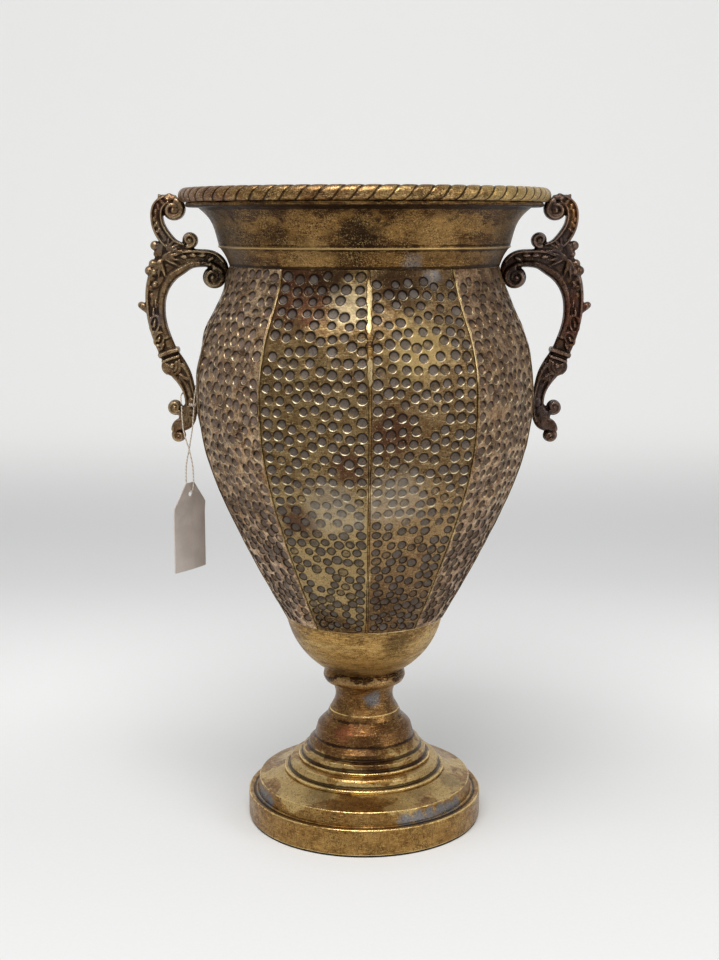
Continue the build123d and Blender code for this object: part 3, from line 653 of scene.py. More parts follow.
hammered_right = gilt("hammered_gilt_right", gold=(164, 136, 90), second=(200, 172, 124), brown=0.44,
                      red=0.4, size=13, dimpled=True, seed=2.9, depth=0.88, crumb=0.85, scratch=0.9,
                      flecks=0.5, bands=((150, 246, 10, 0.75, (246, 206, 146)),
                                         (130, 190, 14, 0.5, RED_BROWN)), sunk=0.15,
                      spots=((24, -90, 374, 24, 0.85, DARK_BROWN), (54, -78, 372, 16, 0.6, DARK_BROWN),
                             (42, -84, 377, 9, 0.6, BLUE_GREY), (16, -108, 284, 22, 0.75, OLD_RUST),
                             (30, -98, 332, 28, 0.4, STRAW), (36, -88, 196, 20, 0.8, OLD_RUST),
                             (14, -72, 160, 18, 0.6, DARK_BROWN), (60, -80, 262, 12, 0.75, DARK_BROWN)),
                      painted_sheen=((20, -102, 240, 26, 0.25, SHEEN_PALE), (4, -106, 232, 12, 0.27, SHEEN_PALE)))
hammered_side = gilt("hammered_gilt_side", gold=(178, 144, 108), second=(210, 178, 142), brown=0.36, red=0.4,
                     size=9, dimpled=True, seed=5.1, depth=0.72, floor=(60, 42, 30), dust=(112, 92, 74),
                     glint=0.6, crumb=0.8, soft=0.08, scratch=0.9)
hammered_left_side = gilt("hammered_gilt_left_side", gold=(200, 164, 124), second=(232, 200, 162), brown=0.36,
                          red=0.42, size=9, dimpled=True, seed=5.9, depth=0.74, floor=(84, 64, 54),
                          dust=(138, 118, 104), glint=0.6, crumb=0.8, soft=0.08, scratch=0.9)
hammered_back = gilt("hammered_gilt_back", gold=(158, 132, 88), second=(192, 166, 116), brown=0.36, red=0.34,
                     size=13, dimpled=True, seed=7.3, depth=0.85, crumb=0.8, scratch=0.9,
                     bands=((180, 240, 14, 0.4, STRAW),))

panel_gilts = (hammered_left, hammered_right, hammered_side, hammered_left_side, hammered_back)
print("panel finishes:", [m.name for m in panel_gilts])

# %% Finishes of the seams
seam_gilt = gilt("seam_gilt", gold=(152, 124, 76), second=(188, 160, 108), brown=0.4, red=0.4, size=7,
                 rub=0.42, seed=8.0, lumps=0.15, crumb=0.8, scratch=1.0)
front_seam_gilt = gilt("front_seam_gilt", gold=(132, 98, 52), second=(176, 144, 90), brown=0.4, red=0.5,
                       size=5, rub=0.42, seed=8.6, lumps=0.2, crumb=0.85, scratch=1.4, bright=(204, 180, 130),
                       shine_off=0.8)
print("seam finishes:", [m.name for m in (seam_gilt, front_seam_gilt)])

# %% Finishes of neck and bowl
# Painted shadow: the dark bands at 374 to 382 mm and 413.5 to 422 mm lie at the joint with the belly and under
# the rope.
neck_gilt = gilt("neck_gilt", gold=(142, 104, 52), second=(188, 146, 82), brown=0.5, red=0.42, size=10,
                 seed=2.0, stretch=(0.4, 0.4, 1.6), speck_share=0.45, rub=0.5, shine_off=0.7, flecks=0.45,
                 crumb=0.75, soft=0.09, scratch=1.0, bright=(208, 174, 116),
                 bands=((394, 404, 3, 0.6, DARK_BROWN), (374, 382, 3, 0.7, DARK_BROWN),
                        (405, 414, 2, 0.5, (196, 154, 90)), (413.5, 422, 2, 0.7, NEAR_BLACK)),
                 spots=((-88, -40, 396, 34, 0.45, (92, 84, 72)), (30, -88, 383, 9, 0.5, BLUE_GREY),
                        (-4, -97, 401, 17, 0.8, NEAR_BLACK), (92, -38, 396, 28, 0.4, (92, 84, 72)),
                        (-52, -80, 400, 12, 0.5, DARK_BROWN), (-34, -90, 386, 20, 0.45, (178, 142, 88)),
                        (44, -86, 403, 22, 0.4, (176, 138, 82)), (-10, -92, 384, 12, 0.6, DARK_BROWN)))
# Painted shade: the dark band at 96 to 112 mm darkens the bowl low over the collar, and the band at 139 to 147
# mm lies under the panels' lower edge.
bowl_gilt = gilt("bowl_gilt", gold=(228, 182, 104), second=(246, 208, 134), brown=0.16, red=0.2, size=12,
                 stretch=(0.35, 0.35, 1.6), seed=4.0, speck_share=0.3, depth=0.5, rub=0.8, lumps=0.12,
                 crumb=0.45, scratch=1.1, bands=((96, 112, 3, 0.8, (96, 62, 26)),
                                                 (139, 147, 2, 0.4, RED_BROWN)),
                 spots=((-52, -10, 128, 26, 0.55, RED_BROWN), (22, -46, 136, 13, 0.6, DARK_BROWN)))
print("spun finishes:", [m.name for m in (neck_gilt, bowl_gilt)])

# %% Finishes of foot, stem and rope
groove_stains = [(73 * math.cos(math.radians(a)), 73 * math.sin(math.radians(a)), 21, 7.5, 0.85, BLUE_GREY)
                 for a in (-68, -61, -54, -47, -40, -33, -150, -158, -166)]
foot_gilt = gilt("foot_gilt", gold=(186, 138, 70), second=(222, 178, 104), brown=0.32, red=0.42, size=9,
                 seed=6.0, speck_share=0.35, depth=0.64, rub=0.72, wax=0.26, bright=(242, 208, 138),
                 lumps=0.3, shine_off=0.8, roughness=0.25, stretch=(0.6, 0.6, 1.0), soft=0.13, scratch=0.9,
                 bands=((31, 41.5, 1, 0.9, (255, 220, 146)),),
                 spots=(*groove_stains, (-30, -50, 31, 14, 0.38, DARK_BROWN),
                        (36, -46, 30, 15, 0.34, RED_BROWN), (0, -64, 29, 9, 0.2, RED_BROWN),
                        (58, -22, 30, 14, 0.4, DARK_BROWN)))
# Painted shade: the near-black band at 102.5 to 108 mm darkens the collar's top, under the bowl.
stem_gilt = gilt("stem_gilt", gold=(174, 124, 62), second=(208, 160, 92), brown=0.46, red=0.58, size=9,
                 seed=6.4, speck_share=0.35, depth=0.78, rub=0.72, wax=0.26, bright=(242, 208, 138),
                 lumps=0.35, shine_off=0.8, roughness=0.25, stretch=(0.6, 0.6, 1.0), soft=0.13, scratch=0.9,
                 bands=((95, 102.5, 1, 0.6, (240, 200, 136)), (102.5, 108, 1, 0.9, NEAR_BLACK),
                        (41, 49, 1, 0.95, (255, 216, 140)), (52, 74, 3, 0.5, RED_BROWN),
                        (77, 94, 1, 0.25, DARK_BROWN)),
                 spots=((6, -20, 88, 8, 0.8, BLUE_GREY), (4, -36, 50, 16, 0.7, DARK_BROWN),
                        (-14, -28, 66, 9, 0.5, (150, 84, 56))))
# Painted shade: the dark band at 418 to 421.5 mm darkens the rope's underside.
rope_gilt = gilt("rope_gilt", gold=(194, 150, 84), second=(234, 194, 126), brown=0.36, red=0.42, size=6,
                 seed=9.0, rub=0.5, wax=0.15, depth=0.82, lumps=0.25, roughness=0.27, soft=0.08, scratch=1.1,
                 crumb=0.8, flecks=0.6, speck_share=0.4, bright=(240, 214, 164), shine_off=0.8,
                 bands=((418, 421.5, 0.8, 0.6, DARK_BROWN),),
                 spots=((-104, -56, 425, 66, 0.55, (124, 78, 54)), (-20, -115, 425, 36, 0.3, RED_BROWN),
                        (96, -66, 427, 62, 0.3, (250, 214, 136))))
print("gilt finishes made:", len([m for m in bpy.data.materials if "gilt" in m.name]))

# %% [markdown]
# ## Hammered panels
# Ten gores of sheet brass are punched from outside with a round-ended tool, row by row, then bent round the
# belly. A dimple here is real geometry: a flat floor, a steep wall and a faint raised lip, pressed along the
# sheet's own normal. The rows follow the sheet, each row holds as many dimples as fit, and every dimple is
# nudged off its place by a seeded amount, because the real ones were struck by eye. Near the bowl they crowd
# together.

# %% Belly outline
panel_base, neck_base = 144.0, 380.0
panel_count = 10
half_panel = math.radians(180 / panel_count)
front_seam = math.radians(-90 + 1.5)
seam_gap, seam_proud, seam_clearance, panel_wall, least_bulge = 1.6, 0.7, 0.05, 1.2, 0.05
belly_outline = [(0.0, 54.2, 0.4), (0.153, 73.0, 1.5), (0.322, 91.8, 2.3), (0.492, 106.4, 2.7),
                 (0.661, 111.3, 2.7), (0.814, 105.6, 1.9), (0.928, 94.0, 0.8), (1.0, 88.8, 0.4)]
belly_height = neck_base - panel_base
panel_line = batten([(radius, panel_base + share * belly_height) for share, radius, rise in belly_outline])
seam_line = batten([(radius + rise, panel_base + share * belly_height)
                    for share, radius, rise in belly_outline])
sheet_along = lengths_along(panel_line)
sheet_length = sheet_along[-1]
print("length of a panel along the sheet:", round(sheet_length, 1), "mm")


# %% Shape of a panel
def middle_radius(height):
    """Radius of the belly in the middle of a panel."""
    return np.interp(height, panel_line[:, 1], panel_line[:, 0])


def seam_radius(height):
    """Radius of the belly at a seam, where it stands out a little."""
    return np.interp(height, seam_line[:, 1], seam_line[:, 0])


def half_width(height):
    """Half the width of a panel, from its middle to its edge beside the seam."""
    return seam_radius(height) * math.sin(half_panel) - seam_gap / 2 - seam_clearance


def on_panel(across, height, depth=0.0):
    """Points of a panel whose middle lies on the X axis, at millimetres across and up, sunk by depth."""
    corner = seam_radius(height)
    chord, edge = corner * math.cos(half_panel), corner * math.sin(half_panel)
    bulge = np.maximum(middle_radius(height) - chord, least_bulge)
    bend = (edge**2 + bulge**2) / (2 * bulge)
    out = middle_radius(height) - bend + np.sqrt(np.maximum(bend**2 - across**2, 0)) - depth
    return np.stack([out, across, height + 0 * across], axis=-1)


print("half width of a panel at the belly:", round(float(half_width(300.0)), 1), "mm")

# %% Where the punch struck
dimple_gap, dimple_radius, crowded_gap = 8.0, 3.15, 5.8
first_row, edge_room = 4.2, 3.8
strike_share, nudging_rounds = 0.96, 30


def gap_at(along):
    """Usual distance between dimples at a length up the sheet: they crowd together near the bowl."""
    return np.interp(along, [0, 15, 45, 95], [crowded_gap, crowded_gap + 0.5, 7.3, dimple_gap])


def strike_places(seed):
    """Places (across, along the sheet), radius, depth and tone of every dimple of one panel."""
    hand = np.random.default_rng(seed)
    struck = []
    along = first_row
    row = 0
    while along < sheet_length - first_row:
        height = np.interp(along, sheet_along, panel_line[:, 1])
        room = half_width(height) - edge_room
        count = max(3, int(round(2 * room / gap_at(along))) + (row + seed) % 2)
        for place in np.linspace(-room, room, count):
            if hand.random() < strike_share:
                struck.append((place + hand.normal(0, 1.5), along + hand.normal(0, 1.8)))
        along += gap_at(along) * hand.uniform(0.88, 1.0)
        row += 1
    places = np.array(struck)
    for _ in range(nudging_rounds):
        apart = places[:, None] - places[None]
        distance = np.linalg.norm(apart, axis=-1) + np.eye(len(places)) * 1e3
        short = np.clip(0.93 * gap_at(places[:, 1])[:, None] - distance, 0, None)
        places = places + 0.3 * ((short / distance)[..., None] * apart).sum(axis=1)
        room = half_width(np.interp(places[:, 1], sheet_along, panel_line[:, 1])) - edge_room
        places[:, 0] = np.clip(places[:, 0], -room, room)
        places[:, 1] = np.clip(places[:, 1], edge_room, sheet_length - edge_room)
    radius = dimple_radius * hand.uniform(0.88, 1.1, len(places)) * np.interp(places[:, 1], [0, 40], [0.86, 1])
    depth = hand.uniform(0.6, 1.0, len(places))
    return places, radius, depth, hand.random(len(places))


print("dimples in the first panel:", len(strike_places(101)[0]))

# %% Faces of a panel
columns, rows, inner_step = 74, 330, 10
inner_rows = list(range(0, rows - 1, inner_step)) + [rows - 1]
inner_columns = list(range(0, columns - 1, inner_step)) + [columns - 1]


def shell_faces():
    """Faces of a closed shell: the fine outside, the coarse inside, and the four edges between them."""
    faces = [tuple(f) for f in grid_faces(rows, columns)]
    base, wide = rows * columns, len(inner_columns)
    faces += [tuple(f[::-1]) for f in grid_faces(len(inner_rows), wide, start=base)]
    for a in range(wide - 1):
        low = list(range(inner_columns[a], inner_columns[a + 1] + 1))
        top = [(rows - 1) * columns + c for c in low]
        faces.append(tuple(low[::-1] + [base + a, base + a + 1]))
        last = base + (len(inner_rows) - 1) * wide
        faces.append(tuple(top + [last + a + 1, last + a]))
    for a in range(len(inner_rows) - 1):
        span = range(inner_rows[a], inner_rows[a + 1] + 1)
        left = [r * columns for r in span]
        right = [r * columns + columns - 1 for r in span]
        faces.append(tuple(left + [base + (a + 1) * wide, base + a * wide]))
        faces.append(tuple(right[::-1] + [base + a * wide + wide - 1, base + (a + 1) * wide + wide - 1]))
    return faces


panel_faces = shell_faces()
print("faces of a panel:", len(panel_faces))

# %% Panels
lip_height, wall_width, inner_sink = 0.05, 1.15, 0.5
dents = {3: ((0, 208, 9, 1.5), (4, 176, 8, 1.1)), 8: ((2, 178, 9, 1.2),)}


def make_panel(number, finish):
    """One gore as a closed shell: a fine dimpled outside, a plain coarse inside, and four edges between."""
    sheet = np.linspace(0, sheet_length, rows)
    height = np.interp(sheet, sheet_along, panel_line[:, 1])[:, None]
    across = np.linspace(-1, 1, columns)[None] * half_width(height)
    smooth = on_panel(across, height)
    normal = np.cross(np.gradient(smooth, axis=1), np.gradient(smooth, axis=0))
    normal /= np.linalg.norm(normal, axis=-1, keepdims=True)
    normal *= np.sign(normal[..., :1])
    places, radius, depth, tone = strike_places(100 + number)
    flat = np.stack([across + 0 * height, sheet[:, None] + 0 * across], axis=-1).reshape(-1, 2)
    distance = np.linalg.norm(flat[:, None] - places[None], axis=-1)
    nearest = np.argmin(distance - radius[None], axis=1)
    inside = radius[nearest] - distance[np.arange(len(flat)), nearest]
    press = smoothstep((inside + 0.1) / wall_width) * depth[nearest]
    lip = lip_height * np.exp(-((inside + 0.45) / 0.4)**2)
    below = (places[nearest, 1] - flat[:, 1]) / np.maximum(distance[np.arange(len(flat)), nearest], 0.2)
    turn = turned(front_seam + (2 * number - 1) * half_panel)
    uneven = 0.5 * gentle_noise(smooth.reshape(-1, 3) @ turn.T, 24, 7)
    for side, up, reach, deep in dents.get(number, ()):
        uneven = uneven - deep * np.exp(-((across - side)**2 + (height - up)**2) / reach**2).reshape(-1)
    edge = np.minimum(half_width(height) - np.abs(across),
                      np.minimum(sheet[:, None], sheet_length - sheet[:, None]))
    fade = smoothstep(edge / 5).reshape(-1)
    outside = smooth.reshape(-1, 3) + normal.reshape(-1, 3) * ((lip - press + uneven * fade)[:, None])
    within = on_panel(across, height, panel_wall + inner_sink)[np.ix_(inner_rows, inner_columns)].reshape(-1, 3)
    points = np.vstack([outside, within]) @ turn.T
    pad = len(within)
    edge_high = (smoothstep(1 - edge / 1.8) * 0.5).reshape(-1)
    node = f"body_panel_{number:02d}"
    return make_piece(node + "_hammered", points, panel_faces, node, slot="hammered_brass", material=finish,
                      dimple=np.r_[np.clip(inside, -3, 3.4), np.full(pad, -3)],
                      tone=np.r_[tone[nearest], np.full(pad, 0.5)], high=np.r_[edge_high, np.zeros(pad)],
                      down=np.r_[below, np.zeros(pad)])


panel_finishes = {1: hammered_right, 10: hammered_left, 9: hammered_left_side, 8: hammered_left_side,
                  5: hammered_back, 6: hammered_back}
panels = [make_panel(number, panel_finishes.get(number, hammered_side))
          for number in range(1, panel_count + 1)]
print("panels:", len(panels), "faces each:", len(panels[0].data.polygons))


# %% [markdown]
# ## Seams
# Where two gores meet, the joint is closed with a strip of brass, and the strip is dressed down with a file.
# It stands a little proud, so it is the first thing that a polishing cloth rubs bright, and its width
# wanders.

# %% Seam strips
seam_half_width = 0.62
seam_section = [(-0.95, -panel_wall), (-1.0, -0.45), (-0.92, 0.15), (-0.62, 0.72), (0.0, 1.0), (0.62, 0.72),
                (0.92, 0.15), (1.0, -0.45), (0.95, -panel_wall)]
section_high = np.array([-0.9, -0.9, -0.5, 0.1, 0.45, 0.1, -0.5, -0.9, -0.9])


def random_line(hand, stations, count):
    """Seeded random values at so many places along a line, joined by straight lengths."""
    return np.interp(np.linspace(0, 1, stations), np.linspace(0, 1, count), hand.normal(0, 1, count))


def make_seam(number):
    """Rounded strip that follows one seam, with a wandering width and a filed top."""
    angle = front_seam + 2 * half_panel * (number - 1)
    stations = 240
    height = np.linspace(panel_base, neck_base, stations)
    radius = seam_radius(height)
    hand = np.random.default_rng(300 + number)
    wander = random_line(hand, stations, 26)
    patch = smoothstep((height - 308) / 10) * smoothstep((376 - height) / 8)
    broad = {}
    for side in (-1, 0, 1):
        jag = random_line(hand, stations, 110)
        broad[side] = seam_half_width + 0.08 * wander + 0.07 * jag
        if number == 1:
            broad[side] = broad[side] + patch * (1.35 + 0.3 * wander + 0.42 * jag)
    proud = np.clip(0.32 + 0.10 * random_line(hand, stations, 40), 0.1, seam_proud)
    rings = []
    for across, up in seam_section:
        lift = np.where(up > 0, up * proud, up)
        side = across * np.where(up > -0.3, broad[int(np.sign(across))], 0.72)
        rings.append(np.stack([radius + lift, side, height], axis=-1))
    points = np.stack(rings, axis=1).reshape(-1, 3) @ turned(angle).T
    faces = tube_faces(stations, len(seam_section))
    bare = 0.75 * patch - 1.5 * np.exp(-((height - 336) / 7)**2)
    rubbed = bare if number == 1 else 0.6 * patch - 0.1 if number in (2, 10) else 0 * patch - 0.15
    high = (section_high[None] + rubbed[:, None]).reshape(-1)
    node = f"seam_strip_{number:02d}"
    return make_piece(node + "_filed", points, faces, node, slot="seam_brass",
                      material=front_seam_gilt if number == 1 else seam_gilt, high=high)


seams = [make_seam(number) for number in range(1, panel_count + 1)]
print("seams:", len(seams), "faces each:", len(seams[0].data.polygons))


# %% [markdown]
# ## Turned and spun pieces
# Foot, stem, bowl and neck are turned on a lathe or spun over a former, so each is one outline swung round
# the axis. The outline's own bends say which places stand out and get rubbed bright and which lie back and
# hold wax.

# %% Turning
lathe_steps, lathe_wobble = 200, 0.05


def outline_bends(outline, reach):
    """How strongly a closed outline bends out (positive) or in, evened over a short reach of points."""
    before, after = outline - np.roll(outline, 1, axis=0), np.roll(outline, -1, axis=0) - outline
    cross = before[:, 0] * after[:, 1] - before[:, 1] * after[:, 0]
    turn = np.arctan2(cross, (before * after).sum(axis=1))
    turn = turn * np.sign(signed_area(outline))
    window = np.exp(-np.linspace(-2, 2, 2 * reach + 1)**2)
    return sum(np.roll(turn, shift - reach) * weight for shift, weight in enumerate(window))


def turn_piece(node, outline, slot, finish, seed, step=0.4, name=None, shaded_joints=(), rubbed=()):
    """Closed outline swung round the vase's axis. Joint heights get painted shade, and rubbed heights are bare.
    """
    line = evenly(outline, step)
    bends = np.maximum(outline_bends(line, 2), 0) + 0.8 * np.minimum(outline_bends(line, 6), 0)
    # Painted shade: dark rings where the piece meets its neighbours.
    for height in shaded_joints:
        bends = bends - 1.2 * np.exp(-((line[:, 1] - height) / 1.3)**2)
    for height in rubbed:
        bends = bends + 0.1 * np.exp(-((line[:, 1] - height) / 0.45)**2)
    angle = np.linspace(0, 2 * math.pi, lathe_steps, endpoint=False)
    radius = line[:, 0][None] + 0 * angle[:, None]
    points = np.stack([radius * np.cos(angle)[:, None], radius * np.sin(angle)[:, None],
                       line[:, 1][None] + 0 * angle[:, None]], axis=-1).reshape(-1, 3)
    outward = np.stack([np.cos(angle), np.sin(angle), 0 * angle], axis=-1).repeat(len(line), axis=0)
    points = points + outward * (lathe_wobble * gentle_noise(points, 18, seed))[:, None]
    faces = grid_faces(lathe_steps, len(line), wrap_rows=True, wrap_columns=True)
    if signed_area(line) > 0:
        faces = faces[:, ::-1]
    return make_piece(name or node + "_turned", points, faces, node, slot=slot, material=finish,
                      high=np.tile(np.clip(bends * 1.6, -1, 1), lathe_steps))


# %% Foot
plinth_base, dish_base, step_base, bell_base = 1.2, 19.0, 33.0, 41.5
barrel_base, collar_base, bowl_base = 76.0, 95.5, 105.5
rod_bore = 4.2
plinth_corners = [(80.7, plinth_base, 1.0), (80.7, dish_base, 2.4), (78.0, dish_base - 0.1, 0.8),
                  (76.4, dish_base - 0.9, 0.6), (74.9, dish_base, 0.3), (60.0, dish_base, 0),
                  (60.0, 16.5, 0), (76.7, 16.5, 0), (76.7, plinth_base, 0)]
dish_corners = [(74.6, dish_base, 0.2), (73.4, 24.4, 1.0), (73.2, 28.1, 1.3), (69.0, 28.6, 1.5),
                (62.5, 30.4, 8.0), (58.0, 32.4, 2.0), (56.6, step_base, 0.4), (45.6, step_base, 0),
                (45.6, 31.0, 0), (55.6, 31.0, 0), (68.6, 26.1, 0), (70.6, dish_base, 0)]
step_corners = [(55.6, step_base, 0.9), (55.6, step_base + 2.4, 1.2), (52.0, step_base + 2.5, 0.8),
                (51.5, 39.6, 1.6), (50.2, 41.2, 1.2), (47.0, bell_base, 0.5), (40.3, bell_base, 0),
                (40.3, step_base, 0)]
bell_corners = [(40.6, bell_base, 0), (45.8, bell_base, 0.9), (45.8, 43.9, 1.2), (42.9, 44.0, 0.8),
                (42.4, 48.3, 1.4), (38.8, 49.9, 1.2), (38.2, 53.5, 1.6), (34.3, 57.3, 1.6),
                (33.4, 61.0, 3.0), (32.2, 65.4, 4.0), (28.6, 69.0, 4.0), (25.6, 71.8, 3.0),
                (24.6, 74.6, 1.5), (23.9, barrel_base, 0.3), (rod_bore, barrel_base, 0),
                (rod_bore, 72.5, 0), (20.4, 72.5, 0), (29.9, 57.0, 2.0), (40.6, 44.8, 2.0)]
turn_piece("plinth_ring", rounded(plinth_corners), "turned_brass", foot_gilt, seed=2)
turn_piece("foot_dish", rounded(dish_corners), "turned_brass", foot_gilt, seed=3)
turn_piece("foot_step", rounded(step_corners), "turned_brass", foot_gilt, seed=4)
turn_piece("foot_bell", rounded(bell_corners), "turned_brass", stem_gilt, seed=5)
print("foot pieces turned")

# %% Stem
barrel_side = batten([(23.9, barrel_base), (19.8, 86.0), (22.4, collar_base)], 60)
collar_corners = [(22.4, collar_base, 0.5), (26.6, 96.3, 2.5), (28.4, 99.9, 3.5), (27.6, 103.2, 2.5),
                  (26.0, bowl_base, 0.4), (rod_bore, bowl_base, 0), (rod_bore, collar_base, 0)]
turn_piece("stem_barrel", [*map(tuple, barrel_side), (rod_bore, collar_base), (rod_bore, barrel_base)],
           "turned_brass", stem_gilt, seed=6)
turn_piece("stem_collar", rounded(collar_corners), "turned_brass", stem_gilt, seed=7)
print("stem pieces turned")

# %% Bowl
ball_radius, ball_wall, ball_mouth = 54.4, 1.5, 53.6
ball_centre = panel_base + math.sqrt(ball_radius**2 - ball_mouth**2)


def ball_arc(ball, low, high):
    """Points up the side of a ball between two heights."""
    return [(math.sqrt(ball**2 - (ball_centre - h)**2), h) for h in np.linspace(low, high, 70)]


bowl_outside = ball_arc(ball_radius, bowl_base, panel_base)
bowl_inside = ball_arc(ball_radius - ball_wall, bowl_base + ball_wall, panel_base)
turn_piece("lower_bowl", [*bowl_outside, *reversed(bowl_inside), (rod_bore, bowl_base + ball_wall),
                          (rod_bore, bowl_base)],
           "spun_brass", bowl_gilt, seed=8, step=0.6, name="lower_bowl_spun")
print("bowl spun, a ball of", ball_radius, "mm about", round(ball_centre, 1), "mm")

# %% Neck
rope_base = 421.0
neck_rise = batten([(88.8, neck_base), (91.3, 386.2), (95.4, 392.4)], 30)
neck_throat = batten([(95.4, 392.4), (97.2, 399.5), (101.4, 410.0), (109.0, 417.6)], 70)
neck_ridge = [(95.5, 391.8), (96.1, 392.3), (96.1, 392.8), (95.7, 393.3)]
inner_throat = batten([(94.1, 392.4), (95.9, 399.5), (100.1, 411.3), (107.7, rope_base)], 60)
lip_roll = [(109.0 + 6.3 * t, 417.6) for t in (0.35, 0.7, 1.0)]
lip_roll += [(115.3 + 1.7 * math.cos(a), 419.3 + 1.7 * math.sin(a)) for a in np.linspace(-1.2, 1.57, 9)]
# Painted shadow at the neck's joint with the belly and under the lip roll.
turn_piece("neck", [*map(tuple, neck_rise[:-2]), *neck_ridge, *map(tuple, neck_throat[4:]), *lip_roll,
                    *map(tuple, inner_throat[::-1]), (87.5, neck_base)],
           "spun_brass", neck_gilt, seed=9, name="neck_spun", shaded_joints=(neck_base, 417.6), rubbed=(392.6,))
print("neck spun")

# %% [markdown]
# ## Rope rim
# The rim is a wire rope moulding soldered round the mouth. Strands laid together make a rope: seen from
# outside, each strand crosses the moulding on a slant. The ring's section is pinched along two turning lines,
# which leaves the strands standing between them.

# %% Rope
rope_radius, rope_centre_radius, rope_centre_height = 4.8, 116.7, 425.2
strand_count, strands_in_section = 70, 2
points_per_strand, points_around = 20, 56
groove_depth = 0.7


def make_rope():
    """Ring whose section swells over each strand and pinches between strands."""
    steps = strand_count * points_per_strand
    along = np.linspace(0, 2 * math.pi, steps, endpoint=False)[:, None]
    over = np.linspace(0, 2 * math.pi, points_around, endpoint=False)[None]
    phase = strand_count * along - strands_in_section * over
    crest = np.abs(np.sin(phase / 2))
    # Painted highlight: a bright line along one side of each groove, which the rubbed mask turns bright.
    lit_groove_side = np.exp(-(((phase / (2 * math.pi)) % 1 - 0.12) / 0.06)**2)
    reach = rope_radius - groove_depth * (1 - crest)**3.5 - 0.12 * (1 - crest)
    up = np.maximum(reach * np.sin(over), -rope_radius + 0.6)
    out = rope_centre_radius + reach * np.cos(over)
    points = np.stack([out * np.cos(along), out * np.sin(along), rope_centre_height + up + 0 * along],
                      axis=-1)
    faces = grid_faces(steps, points_around, wrap_rows=True, wrap_columns=True)
    high = 0.25 + 0.45 * lit_groove_side - 2.2 * (1 - crest)**4.5
    return make_piece("rim_rope_twisted", points.reshape(-1, 3), faces, "rim_rope", slot="rim_brass",
                      material=rope_gilt, high=high.reshape(-1))


rope = make_rope()
print("rope faces:", len(rope.data.polygons))

# %% [markdown]
# ## Finish of the handles
# The castings are darker than the body: nearly black wax over brown bronze, with copper and gold only where
# the high edges are rubbed. The left one is a little greener and more golden than the right one.

# %% Handle finishes
# Painted shade: on both handles a near-black spot darkens the volute where it meets the body; on the dark one
# another lies under the rim.
handle_dark = gilt("handle_bronze_dark", gold=(50, 40, 38), second=(92, 78, 74), brown=0.4, red=0.24,
                   size=7, rub=0.8, wax=0.3, roughness=0.24, seed=12.0, bright=(150, 124, 108), metal=0.85,
                   shine_off=0.55, depth=0.6, soft=0.12, lumps=0.6, speck_share=0.4, flecks=0.25,
                   spots=((140, 0, 416, 15, 0.65, (170, 120, 70)), (104, 0, 374, 20, 0.8, NEAR_BLACK),
                          (124, 0, 420, 13, 0.6, NEAR_BLACK), (124, 0, 392, 18, 0.45, (60, 54, 56)),
                          (139, 0, 345, 24, 0.6, (84, 42, 26)), (118, 0, 292, 20, 0.5, (66, 60, 62))))
handle_olive = gilt("handle_bronze_olive", gold=(128, 106, 80), second=(164, 140, 106), brown=0.36,
                    red=0.36, size=7, rub=0.74, wax=0.35, roughness=0.27, seed=14.0, bright=(190, 166, 128),
                    metal=0.85, shine_off=0.55, depth=0.6, soft=0.12, lumps=0.6, speck_share=0.4, flecks=0.3,
                    spots=((-99, 0, 378, 18, 0.9, NEAR_BLACK), (-133, 0, 420, 14, 0.6, (96, 50, 34)),
                           (-124, 0, 268, 9, 0.6, (96, 50, 34)), (-120, 0, 388, 12, 0.5, DARK_BROWN),
                           (-139, 0, 346, 11, 0.5, (106, 100, 104)),
                           (-131, 0, 396, 13, 0.5, (86, 78, 78))))
print("handle finishes:", [m.name for m in (handle_dark, handle_olive)])

# %% [markdown]
# ## Cast handles
# The handles are sand castings: scrolls, leaves and beads that a carver cut as one pattern, so every form
# melts into the next. Each form is built here as a closed lump in the handle's own plane, the lumps are fused
# by a voxel remesh, as molten metal would fuse them, and the result is softened a little. The bends of the
# fused surface then say where a hand has rubbed it bright and where black wax has stayed.

# %% Casting tools
def square_to(line):
    """Directions square to a line in its own plane, one for each point."""
    way = np.gradient(line[:, :2], axis=0)
    way /= np.linalg.norm(way, axis=1, keepdims=True)
    return np.stack([-way[:, 1], way[:, 0]], axis=1)


